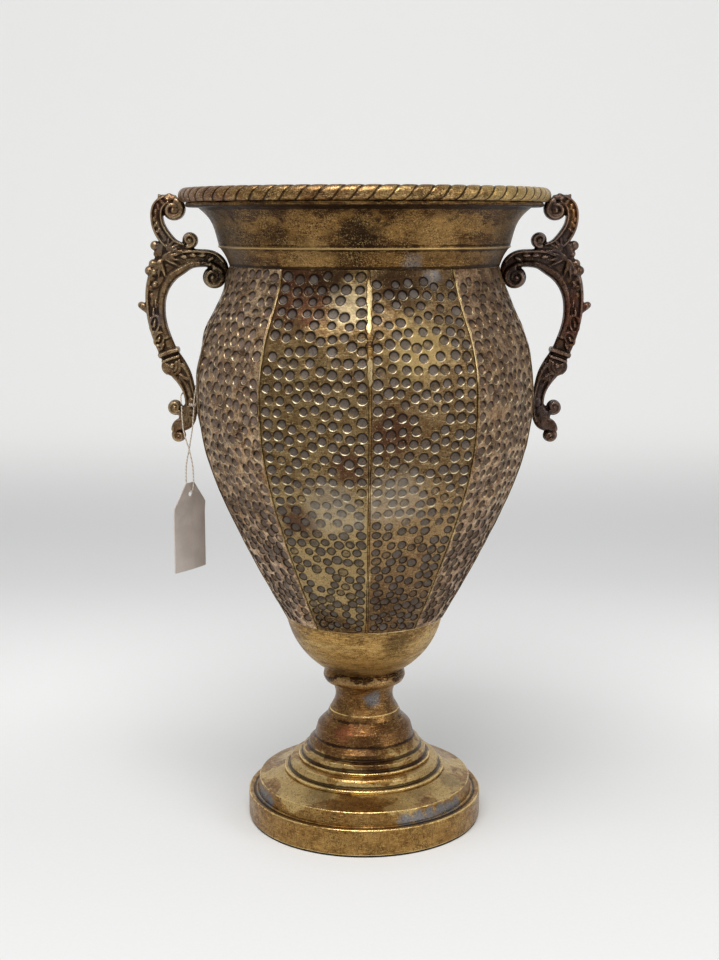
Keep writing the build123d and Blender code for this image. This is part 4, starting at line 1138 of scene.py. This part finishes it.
class Casting:
    """Closed lumps of metal for the handle on the +X side: x out, y depth, z up, in millimetres."""

    def __init__(self):
        self.points, self.faces, self.count = [], [], 0

    def add_rings(self, rings):
        """Closed tube through rings of equal point count."""
        rings = np.asarray(rings, float)
        stations, around = rings.shape[:2]
        self.points.append(rings.reshape(-1, 3))
        self.faces += tube_faces(stations, around, start=self.count)
        self.count += stations * around

    def band(self, line, depth, at=0.0):
        """Scroll along (x, z, half width) points. At a depth of its own it lies on both faces."""
        line = batten(line, 12 * len(line))
        normal = square_to(line)
        angle = np.linspace(0, 2 * math.pi, 20, endpoint=False)
        across = np.sign(np.cos(angle)) * np.abs(np.cos(angle))**0.8
        deep = np.sign(np.sin(angle)) * np.abs(np.sin(angle))**0.8
        for side in ((-1, 1) if at else (1,)):
            rings = []
            for place, out, half in zip(line[:, :2], normal, line[:, 2]):
                flat = place + out * (across * max(half, 0.3))[:, None]
                limit = depth if not at else min(depth, max(half, 0.5))
                rings.append(np.stack([flat[:, 0], side * at + deep * limit, flat[:, 1]], axis=1))
            self.add_rings(rings)

    def scroll(self, centre, start, turns, way, reach, band, depth):
        """Spiral that winds in to a boss, over a thinner web. Way is 1 for anticlockwise."""
        share = np.linspace(0, 1, int(14 * turns) + 2)
        angle = math.radians(start) + way * 2 * math.pi * turns * share
        radius = (reach - band) * (1 - share)**0.85 + 0.4
        half = band * (1 - 0.5 * share)
        line = np.stack([centre[0] + radius * np.cos(angle), centre[1] + radius * np.sin(angle), half],
                        axis=1)
        self.band(line, depth)
        self.drop(centre, 0, reach * 0.86, reach * 0.86, depth * 0.62)
        self.drop(centre, 0, reach * 0.27, reach * 0.27, depth + 0.7)

    def drop(self, centre, angle, long, wide, deep, at=0.0, taper=0.0):
        """Egg or leaf lobe, its long axis at an angle in degrees. At its own depth it lies on both faces."""
        turn = math.radians(angle)
        along = np.array([math.cos(turn), math.sin(turn)])
        aside = np.array([-along[1], along[0]])
        for side in ((-1, 1) if at else (1,)):
            rings = []
            for t in np.cos(np.linspace(math.pi * 0.96, math.pi * 0.04, 11)):
                slim = math.sqrt(1 - t * t) * (1 - taper * (t + 1) / 2)
                middle = np.array(centre) + along * long * t
                around = np.linspace(0, 2 * math.pi, 14, endpoint=False)
                flat = middle + aside * (wide * slim * np.cos(around))[:, None]
                rings.append(np.stack([flat[:, 0], side * at + deep * slim * np.sin(around), flat[:, 1]],
                                      axis=1))
            self.add_rings(rings)

    def fan(self, root, angles, length, wide, deep, at=0.0):
        """Leaf lobes that spread from one root."""
        for angle in angles:
            turn = math.radians(angle)
            centre = (root[0] + length / 2 * math.cos(turn), root[1] + length / 2 * math.sin(turn))
            self.drop(centre, angle, length / 2 + 0.4, wide, deep, at=at, taper=0.55)


def beside(line, share, slim):
    """Line that follows a scroll, a share of its half width to one side, slimmer than the scroll itself."""
    line = np.array(line, float)
    return np.column_stack([line[:, :2] + square_to(line) * (share * line[:, 2])[:, None], line[:, 2] * slim])


# %% Lines of the handle
arch_line = [(93.2, 372, 3.6), (94.5, 379.5, 4.4), (100.3, 384, 5.6), (108, 384.8, 6.0), (116, 384.2, 6.8),
             (123, 381.5, 8.2), (129.5, 378, 9.0), (135, 371, 8.6), (138, 361.5, 7.4), (138.5, 350, 6.6),
             (137, 340, 6.3), (134.2, 331, 6.3), (130.5, 322, 6.2)]
leg_line = [(130.5, 322, 6.2), (125.4, 313, 7.0), (121.0, 306, 6.0), (118.3, 299.5, 4.7), (116.3, 291, 4.3),
            (116.5, 283, 4.5), (118.2, 277.5, 4.4)]
stem_line = [(123.5, 423.6, 2.0), (129.5, 423.2, 3.0), (134.8, 419, 4.0), (136.4, 411.5, 4.3),
             (134.9, 404.5, 4.6), (131.0, 398, 4.8), (125.2, 393, 4.2), (118.8, 391.6, 3.0),
             (114.5, 391.6, 2.2)]


# %% Arch and upper scroll
def model_arch(cast):
    """The big C of the handle and its inner volute."""
    # The big C: a body with a broad rubbed bevel on its inner side and a thin edge outside.
    cast.band(arch_line, 3.2)
    cast.band(beside(arch_line[:-1], -0.60, 0.36), 5.0)
    cast.band(beside(arch_line[1:-1], 0.74, 0.20), 4.4)
    cast.scroll((99.6, 372.3), 88, 1.9, 1, 8.7, 2.7, 5.4)


def model_upper_scroll(cast):
    """The upper S from the rim down to the small curl."""
    cast.band(stem_line, 3.4)
    cast.band(beside(stem_line[1:-1], -0.70, 0.28), 4.7)
    cast.band(beside(stem_line[1:-1], 0.72, 0.26), 4.7)
    cast.scroll((125.3, 416.2), 95, 1.7, 1, 8.3, 2.7, 5.4)
    cast.scroll((115, 396.8), -62, 1.5, -1, 5.9, 2.0, 5.2)
    cast.band([(127.5, 396, 5.5), (128.5, 388, 8.0), (130.5, 380, 9.5)], 3.4)


# %% Leaves and clusters
def model_head_leaves(cast):
    """Acanthus over the head, then knobs and leaf clusters down the outer edge."""
    # Slanted tongues wrap round the outer edge of the head.
    for x, z, lean in ((125.6, 423.4, 4), (129.6, 423.4, 18), (133.0, 421.8, 38), (135.4, 418.8, 56),
                       (136.8, 415.0, 72), (137.2, 411.0, 86), (136.6, 406.8, 98), (135.2, 402.6, 110)):
        cast.drop((x, z), lean + 18, 4.2, 1.9, 5.0, taper=0.3)
    cast.drop((133.8, 424.0), 60, 2.9, 2.2, 3.6, taper=0.5)
    cast.drop((128.0, 425.2), 86, 1.8, 2.0, 3.0)
    # Two knobs, the edge behind them, the leaf cluster, and the spur below it.
    cast.drop((138.0, 393.0), 0, 3.3, 3.3, 4.0)
    cast.drop((136.8, 387.6), 0, 2.5, 2.5, 3.6)
    cast.band([(131.0, 396.5, 2.6), (134.5, 391.5, 3.0), (135.5, 386.5, 3.2)], 3.6)
    for x, z, reach, deep in ((139.4, 381.0, 3.2, 4.4), (142.0, 376.6, 3.3, 4.2), (140.6, 371.6, 3.0, 4.4),
                              (138.6, 376.0, 3.4, 5.4), (136.0, 380.6, 3.0, 5.2), (141.4, 365.4, 2.9, 4.2),
                              (140.8, 360.4, 2.4, 4.0), (138.4, 367.6, 2.8, 5.0)):
        cast.drop((x, z), 0, reach, reach, deep)
    cast.band([(140.0, 349.8, 4.4), (143.4, 351.6, 3.4), (146.4, 353.0, 2.7), (148.2, 353.8, 2.3)], 3.2)
    cast.drop((147.9, 353.9), 25, 2.6, 2.4, 2.5)


def model_arch_leaves(cast):
    """Acanthus where stem and arch meet, and the carved ovals down the arch."""
    cast.fan((133.0, 385.5), (150, 170, 190, 208), 12.5, 1.7, 2.0, at=3.4)
    cast.fan((134.5, 384.0), (-62, -84, -106), 12.0, 1.8, 2.0, at=3.6)
    cast.fan((129.5, 389.5), (96, 122, 150), 9.0, 1.5, 1.8, at=3.2)
    for x, z, lean in ((118.6, 385.6, 6), (112.6, 386.6, 4), (106.6, 386.6, -4), (101.0, 384.4, -26)):
        cast.drop((x, z), lean, 2.8, 1.5, 1.7, at=3.3, taper=0.3)
    # Each oval is a raised rim round a bead.
    for x, z, lean, long in ((139.2, 341.6, 98, 5.6), (136.4, 331.6, 112, 4.4)):
        turn = math.radians(lean)
        oval = []
        for a in np.linspace(0, 2 * math.pi, 15):
            u, v = long * math.cos(a), 2.9 * math.sin(a)
            oval.append((x + u * math.cos(turn) - v * math.sin(turn),
                         z + u * math.sin(turn) + v * math.cos(turn), 0.8))
        cast.band(oval, 1.5, at=3.5)
        cast.drop((x, z), lean, long * 0.5, 1.2, 2.0, at=3.2)
    for x, z, lean in ((138.0, 354.6, 84), (139.6, 349.6, 92), (134.0, 326.8, 116)):
        cast.drop((x, z), lean, 2.6, 1.3, 2.0, at=3.4, taper=0.4)


# %% Leg and tail
def model_leg(cast):
    """The leg below the arch: its collar and petals, and what it ends in."""
    # Collar of two rings, then nested petals and a rosette.
    cast.band(leg_line, 3.5)
    cast.band([(123.6, 324.9, 1.9), (130.6, 322.8, 2.3), (137.0, 320.2, 1.9)], 6.0)
    cast.band([(123.2, 320.4, 1.3), (129.2, 318.6, 1.6), (134.9, 316.4, 1.3)], 5.2)
    cast.band(beside(leg_line[1:], -0.68, 0.28), 4.6)
    cast.band(beside(leg_line[1:], 0.68, 0.28), 4.6)
    for grow in (1.0, 0.62):
        petal = [(128.4 + grow * u, 314.6 + grow * v, 0.95) for u, v in
                 ((-4.6, 3.6), (-5.6, -1.4), (-3.4, -5.6), (1.0, -6.4), (4.2, -3.4), (5.2, 1.4))]
        cast.band(petal, 1.7, at=3.4 + 1.2 * (1 - grow))
    cast.drop((128.0, 314.0), 0, 2.1, 2.1, 2.2, at=3.8)
    cast.band([(133.2, 316.0, 2.0), (133.0, 312.0, 2.4), (130.8, 308.6, 1.6)], 4.4)
    cast.fan((123.4, 308.2), (-148, -122, -96), 8.0, 1.3, 1.8, at=3.4)
    # Lower volute, seat against the body, and the tail.
    cast.drop((115.9, 289), 90, 5.6, 4.4, 4.6)
    cast.scroll((126.9, 286.2), 215, 1.6, 1, 5.6, 2.0, 5.2)
    cast.band([(116.6, 286.0, 4.4), (120.0, 282.0, 4.4), (124.5, 281.0, 2.6)], 4.8)
    cast.band([(117.0, 280.0, 4.4), (120.2, 275.2, 4.8), (125.0, 273.4, 4.2), (128.0, 269.6, 2.4)], 4.6)
    cast.scroll((124.6, 266.8), 55, 1.25, -1, 5.2, 2.1, 4.8)
    cast.fan((118.4, 280.0), (-20, -50, -80), 8.0, 1.6, 1.8, at=3.8)


handle_lumps = Casting()
for model_part in (model_arch, model_upper_scroll, model_head_leaves, model_arch_leaves, model_leg):
    model_part(handle_lumps)
print("lumps of a handle:", len(handle_lumps.points))


# %% Bends of a fused surface
fine_bend, broad_bend = 0.16, 0.7


def bends_of(mesh):
    """How strongly a fused surface bends out (1) or in (-1) at each point, in fine and in broad."""
    count = len(mesh.vertices)
    place, normal = np.empty(count * 3), np.empty(count * 3)
    mesh.vertices.foreach_get("co", place)
    mesh.vertices.foreach_get("normal", normal)
    place, normal = place.reshape(-1, 3) / MM, normal.reshape(-1, 3)
    edges = np.empty(len(mesh.edges) * 2, int)
    mesh.edges.foreach_get("vertices", edges)
    a, b = edges.reshape(-1, 2).T
    ends, others = np.r_[a, b], np.r_[b, a]
    ties = np.maximum(np.bincount(ends, minlength=count), 1)

    def evened(values, rounds):
        """Values averaged with those of the neighbouring points, a number of times."""
        for _ in range(rounds):
            values = np.stack([np.bincount(ends, column[others], count) / ties for column in values.T],
                              axis=1)
        return values

    fine = ((place - evened(place, 3)) * normal).sum(axis=1)
    broad = ((place - evened(place, 24)) * normal).sum(axis=1)
    bend = evened(np.stack([fine / fine_bend, broad / broad_bend], axis=1), 2).sum(axis=1)
    return place, np.clip(bend, -1, 1)


# %% Fusing the casting
voxel_size, soften_factor, soften_rounds = 0.45, 0.5, 2


def fuse(name, cast, mirrored):
    """One watertight mesh from all lumps of a casting: its points, its faces and how it bends."""
    points = np.vstack(cast.points)
    mesh = bpy.data.meshes.new(name)
    mesh.from_pydata((points * MM).tolist(), [], cast.faces)
    mesh.validate()
    lumps = bpy.data.objects.new(name + "_lumps", mesh)
    scene.collection.objects.link(lumps)
    remesh = lumps.modifiers.new("fuse", "REMESH")
    remesh.mode = "VOXEL"
    remesh.voxel_size = voxel_size * MM
    soften = lumps.modifiers.new("soften", "SMOOTH")
    soften.factor, soften.iterations = soften_factor, soften_rounds
    fused = bpy.data.meshes.new_from_object(lumps.evaluated_get(bpy.context.evaluated_depsgraph_get()))
    bpy.data.objects.remove(lumps)
    place, bend = bends_of(fused)
    faces = np.empty((len(fused.polygons), 4), int)
    fused.polygons.foreach_get("vertices", faces.reshape(-1))
    if mirrored:
        place[:, 0] *= -1
        faces = faces[:, ::-1]
    return place, faces, bend


for side, finish in (("right", handle_dark), ("left", handle_olive)):
    place, faces, high = fuse("handle_" + side, handle_lumps, mirrored=side == "left")
    make_piece(f"handle_{side}_cast", place, faces, "handle_" + side, slot="cast_bronze", material=finish,
               high=high)
print("faces of a handle:", len(faces))

# %% [markdown]
# ## Swing tag and knot
# The tag is thick cut card with clipped shoulders and a punched hole, left blank. Card is never quite flat,
# so it bows a little. Its flat sides are cut into small cells first, because a face can't bend across its
# middle. The knot is three tight turns of the same thread.

# %% Card and thread finishes
def blank_finish(name):
    """New material, the inputs of its surface, its wires, and the place on the piece."""
    finish = bpy.data.materials.new(name)
    finish.use_nodes = True
    wires = Wires(finish.node_tree)
    return finish, finish.node_tree.nodes["Principled BSDF"].inputs, wires, wires.node("TexCoord", out=3)


def card_finish():
    """Matt pale card with fibres and slight soiling."""
    finish, surface, wires, where = blank_finish("tag_card")
    cloudy = wires.noise(where, 16, 4)
    fibres = wires.noise(wires.stretched(where, (1, 1, 0.3)), 0.5, 5, 0.7)
    colour = wires.mix(wires.ramp(cloudy, 0.35, 0.65), (196, 184, 175), (210, 199, 190))
    colour = wires.mix(wires.ramp(fibres, 0.5, 0.8, 0.0, 0.35), colour, (166, 152, 144))
    wires.link(colour, surface["Base Color"])
    wires.link(wires.ramp(fibres, 0.3, 0.7, 0.62, 0.8), surface["Roughness"])
    wires.link(wires.node("Bump", {"Strength": 0.5, "Distance": 0.1 * MM, "Height": fibres}),
               surface["Normal"])
    return finish


def thread_finish():
    """Waxed twisted thread: a slanting twist in its height and colour."""
    finish, surface, wires, where = blank_finish("waxed_thread")
    twist = wires.node("TexWave", {"Vector": where, "Scale": 260.0, "Distortion": 2.0, "Detail": 2.0}, out=1,
                       wave_type="BANDS", bands_direction="DIAGONAL")
    wires.link(wires.mix(twist, (186, 168, 148), (224, 212, 194)), surface["Base Color"])
    wires.link(wires.ramp(twist, 0.0, 1.0, 0.72, 0.55), surface["Roughness"])
    wires.link(wires.node("Bump", {"Strength": 0.6, "Distance": 0.15 * MM, "Height": twist}),
               surface["Normal"])
    return finish


waxed_thread = thread_finish()
for thread in (wrap_thread, left_thread, right_thread, loop_thread):
    thread.data.materials.append(waxed_thread)
print("thread finish:", waxed_thread.name)

# %% Cutting the card
tag_top, tag_width, tag_height, tag_thickness = 235.5, 32.0, 60.0, 0.8
tag_hole_drop, tag_hole_radius, tag_corner, tag_bow = 7.5, 2.0, 0.8, 0.9
tag_side, tag_shoulder, tag_neck = tag_width / 2, 15.0, 4.0
tag_profile = [(-tag_neck, 0.0), (-tag_side, -tag_shoulder), (-tag_side, -tag_height),
               (tag_side, -tag_height), (tag_side, -tag_shoulder), (tag_neck, 0.0)]


def eased_profile():
    """The card's outline with each corner rounded a little."""
    outline = []
    for i, corner in enumerate(tag_profile):
        back, ahead = Vector(tag_profile[i - 1]), Vector(tag_profile[(i + 1) % len(tag_profile)])
        here = Vector(corner)
        first = here + (back - here).normalized() * tag_corner
        last = here + (ahead - here).normalized() * tag_corner
        for t in (0, 0.33, 0.67, 1):
            outline.append(first * (1 - t)**2 + here * 2 * t * (1 - t) + last * t * t)
    return outline


def cut_card():
    """Flat card with its hole, cut into cells: points, faces, and the edges along outline and hole."""
    cut = bmesh.new()
    hole = [(tag_hole_radius * math.sin(a), -tag_hole_drop + tag_hole_radius * math.cos(a))
            for a in np.linspace(0, 2 * math.pi, 40, endpoint=False)]
    loops = []
    for ring in (eased_profile(), hole):
        verts = [cut.verts.new((p[0], p[1], 0)) for p in ring]
        loops += [cut.edges.new((verts[i], verts[(i + 1) % len(verts)])) for i in range(len(verts))]
    bmesh.ops.triangle_fill(cut, use_beauty=True, use_dissolve=False, edges=loops)
    cell_cuts = [((0, level, 0), (0, 1, 0)) for level in np.arange(-58.5, -1.0, 1.5)]
    cell_cuts += [((across, 0, 0), (1, 0, 0)) for across in np.arange(-15.0, 15.1, 2.5)]
    for place, square in cell_cuts:
        bmesh.ops.bisect_plane(cut, geom=cut.verts[:] + cut.edges[:] + cut.faces[:], plane_co=place,
                               plane_no=square)
    bmesh.ops.recalc_face_normals(cut, faces=cut.faces[:])
    cut.verts.index_update()
    flat = np.array([v.co[:2] for v in cut.verts])
    cells = [[v.index for v in f.verts] for f in cut.faces]
    rim = {tuple(sorted((e.verts[0].index, e.verts[1].index))): None
           for e in cut.edges if len(e.link_faces) == 1}
    for cell in cells:
        for a, b in zip(cell, cell[1:] + cell[:1]):
            if tuple(sorted((a, b))) in rim:
                rim[tuple(sorted((a, b)))] = (a, b)
    cut.free()
    return flat, cells, list(rim.values())


# %% Card
def make_card():
    """The cut card, bowed and thickened, hanging from its loop."""
    flat, cells, rim = cut_card()
    bow = tag_bow * (1 - (flat[:, 0] / tag_side)**2) * smoothstep((-flat[:, 1] - 12) / 30) - tag_bow
    bow = bow * smoothstep((-flat[:, 1] - 11) / 12)
    count = len(flat)
    layers = []
    for side in (-0.5, 0.5):
        out = bow + side * tag_thickness
        layers.append(np.array([card_axis]) + np.outer(flat[:, 0], card_along) + np.outer(out, card_out)
                      + np.outer(flat[:, 1] + tag_top, (0, 0, 1)))
    faces = [tuple(f[::-1]) for f in cells] + [tuple(i + count for i in f) for f in cells]
    faces += [(a, b, b + count, a + count) for a, b in rim]
    return make_piece("swing_tag_card", np.vstack(layers), faces, "swing_tag", body="tag", slot="tag_card",
                      material=card_finish(), smooth=False)


tag_card = make_card()
print("tag faces:", len(tag_card.data.polygons))

# %% Knot
knot_turns, knot_radius, knot_length = 3.2, 0.75, 4.3


def make_knot():
    """Three tight turns of thread round the wrap's end, after a short tail, along the swing axis."""
    t = np.linspace(0, 1, 90)
    angle = 2 * math.pi * knot_turns * t
    path = np.stack([-116.9 + knot_length * t, -6.6 + knot_radius * np.cos(angle),
                     288.0 + knot_radius * np.sin(angle)], axis=1)
    tail = np.linspace(0, 1, 8)[:0:-1, None]
    path = np.vstack([path[0] + tail * np.array([-0.2, -0.3, 0.0]), path])
    way = np.gradient(path, axis=0)
    way /= np.linalg.norm(way, axis=1, keepdims=True)
    up = np.cross(way, (1.0, 0.2, 0.1))
    up /= np.linalg.norm(up, axis=1, keepdims=True)
    aside = np.cross(way, up)
    around = np.linspace(0, 2 * math.pi, 10, endpoint=False)
    rings = [p + thread_diameter / 2 * (np.outer(np.cos(around), u) + np.outer(np.sin(around), a))
             for p, u, a in zip(path, up, aside)]
    return make_piece("string_knot_turns", np.vstack(rings), tube_faces(len(rings), len(around)),
                      "string_knot", slot="thread", material=waxed_thread)


knot = make_knot()
print("knot faces:", len(knot.data.polygons))

# %% [markdown]
# ## Hidden hardware and the base pad
# Rod, nuts, washers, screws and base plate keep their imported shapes: they are plain turned and stamped steel.
# They get zinc plate with a faint spangle, and the pad under the plinth gets worn black felt.

# %% Steel and pad finishes
def plain_finish(name, dark, pale, metallic, rough, bump, size):
    """Simple finish of two mixed tones with fine bump, for pieces that hardly show."""
    finish, surface, wires, where = blank_finish(name)
    surface["Metallic"].default_value = metallic
    cloudy = wires.noise(where, size, 5, 0.6)
    fine = wires.noise(where, size * 0.12, 3, 0.7)
    wires.link(wires.mix(wires.ramp(cloudy, 0.35, 0.65), dark, pale), surface["Base Color"])
    wires.link(wires.ramp(fine, 0.3, 0.7, rough - 0.08, rough + 0.08), surface["Roughness"])
    wires.link(wires.node("Bump", {"Strength": 0.5, "Distance": bump * MM, "Height": fine}),
               surface["Normal"])
    return finish


zinc = plain_finish("zinc_plate", (150, 150, 146), (182, 182, 178), metallic=1.0, rough=0.4, bump=0.05,
                    size=6)
felt = plain_finish("base_felt", (20, 19, 18), (34, 32, 30), metallic=0.0, rough=0.9, bump=0.3, size=5)
plain_pieces = {"base_plate": zinc, "tie_rod": zinc, "tie_nuts": zinc, "tie_washers": zinc,
                "handle_screws": zinc, "handle_washers": zinc, "base_pad": felt}
for node_name, finish in plain_pieces.items():
    node_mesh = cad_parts[node_name].data
    node_mesh.materials.clear()
    node_mesh.materials.append(finish)
print("packed pieces with a finish of their own:", len(plain_pieces))

# %% [markdown]
# ## The cords
# The thread is in four pieces: the wrap round the handle, its two strands and the loop of the card.

# %% Pieces of thread
print("the thread is in four pieces: the wrap, its two strands and the loop of the card")

# %% [markdown]
# ## Floor, backdrop and light
# The photograph was taken on a white sweep: a floor that curves up into a wall, lit from all round, a little
# more from above and in front. A large soft lamp overhead lights the lower walls of the dimples, a weaker one
# fills from the right, and the world fills the rest.

# %% Sweep
sweep_side, sweep_front, sweep_back, sweep_top = 3.5, -2.5, 2.5, 3.2
curve_start, curve_radius = 1.6, 0.9
near_lift, middle_lift, far_lift = 0.0, 0.14, 0.30


def paper_finish():
    """White paper that glows a little for the camera, more the farther back it lies.

    A band of painted light also brightens the floor behind the vase.
    """
    paper, surface, wires, where = blank_finish("sweep_paper")
    fibres = wires.noise(where, 3.0, 3)
    wires.link(wires.mix(fibres, (226, 226, 225), (230, 230, 229)), surface["Base Color"])
    surface["Roughness"].default_value = 0.9
    rays = paper.node_tree.nodes.new("ShaderNodeLightPath").outputs
    seen = wires.math("MAXIMUM", rays["Is Camera Ray"],
                      wires.math("MAXIMUM", rays["Is Glossy Ray"], rays["Is Transmission Ray"]))
    back = wires.node("SeparateXYZ", {"Vector": where}, out=1)
    far = wires.ramp(back, 0.85, 1.9, near_lift, far_lift)
    # Painted light: a band of extra glow on the floor behind the vase.
    middle = wires.times(wires.ramp(back, -0.02, 0.26, 0.0, middle_lift),
                         wires.ramp(back, 0.26, 0.72, 1.0, 0.0))
    wires.link(wires.times(seen, wires.plus(far, middle)), surface["Emission Strength"])
    surface["Emission Color"].default_value = linear(250, 250, 247)
    return paper


def make_sweep():
    """Floor that curves up into a backdrop far behind the vase."""
    curve = [(curve_start + curve_radius * math.sin(a), curve_radius * (1 - math.cos(a)))
             for a in np.linspace(0, math.pi / 2, 24)]
    depth_points = [(sweep_front, 0.0)] + curve + [(sweep_back, sweep_top)]
    points = [(x, y, z) for y, z in depth_points for x in (-sweep_side, sweep_side)]
    mesh = bpy.data.meshes.new("sweep")
    mesh.from_pydata(points, [], grid_faces(len(depth_points), 2).tolist())
    mesh.shade_smooth()
    mesh.materials.append(paper_finish())
    sweep = bpy.data.objects.new("sweep", mesh)
    scene.collection.objects.link(sweep)
    sweep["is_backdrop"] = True
    return sweep


print("sweep faces:", len(make_sweep().data.polygons))


# %% Lamps and world
def soft_lamp(name, place, target, width, depth, power):
    """Rectangular soft lamp that points at a target."""
    lamp = bpy.data.lights.new(name, "AREA")
    lamp.shape = "RECTANGLE"
    lamp.size, lamp.size_y, lamp.energy = width, depth, power
    holder = bpy.data.objects.new(name, lamp)
    holder.location = place
    holder.rotation_euler = (Vector(target) - Vector(place)).to_track_quat("-Z", "Y").to_euler()
    scene.collection.objects.link(holder)


soft_lamp("overhead", (-0.15, -0.7, 1.6), (0, 0, 0.3), 1.0, 0.8, 20)
soft_lamp("right_fill", (1.3, -0.9, 0.7), (0, 0, 0.25), 0.7, 1.0, 5)
world = bpy.data.worlds.new("studio")
world.use_nodes = True
world.node_tree.nodes["Background"].inputs["Color"].default_value = (0.93, 0.94, 0.95, 1)
world.node_tree.nodes["Background"].inputs["Strength"].default_value = 0.55
scene.world = world
scene.view_settings.view_transform = "Standard"
print("lamps:", [lamp.name for lamp in bpy.data.lights])

# %% [markdown]
# ## Measuring
# The last cell measures the dressed vase and prints its box beside the imported one: every visible piece
# should stay inside the imported model's box.

# %% Sizes and finish
visual_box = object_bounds()
for name, box in {"packed": cad_box, "dressed": visual_box}.items():
    print(name, "box mm:", [[round(v / MM, 1) for v in corner] for corner in box])
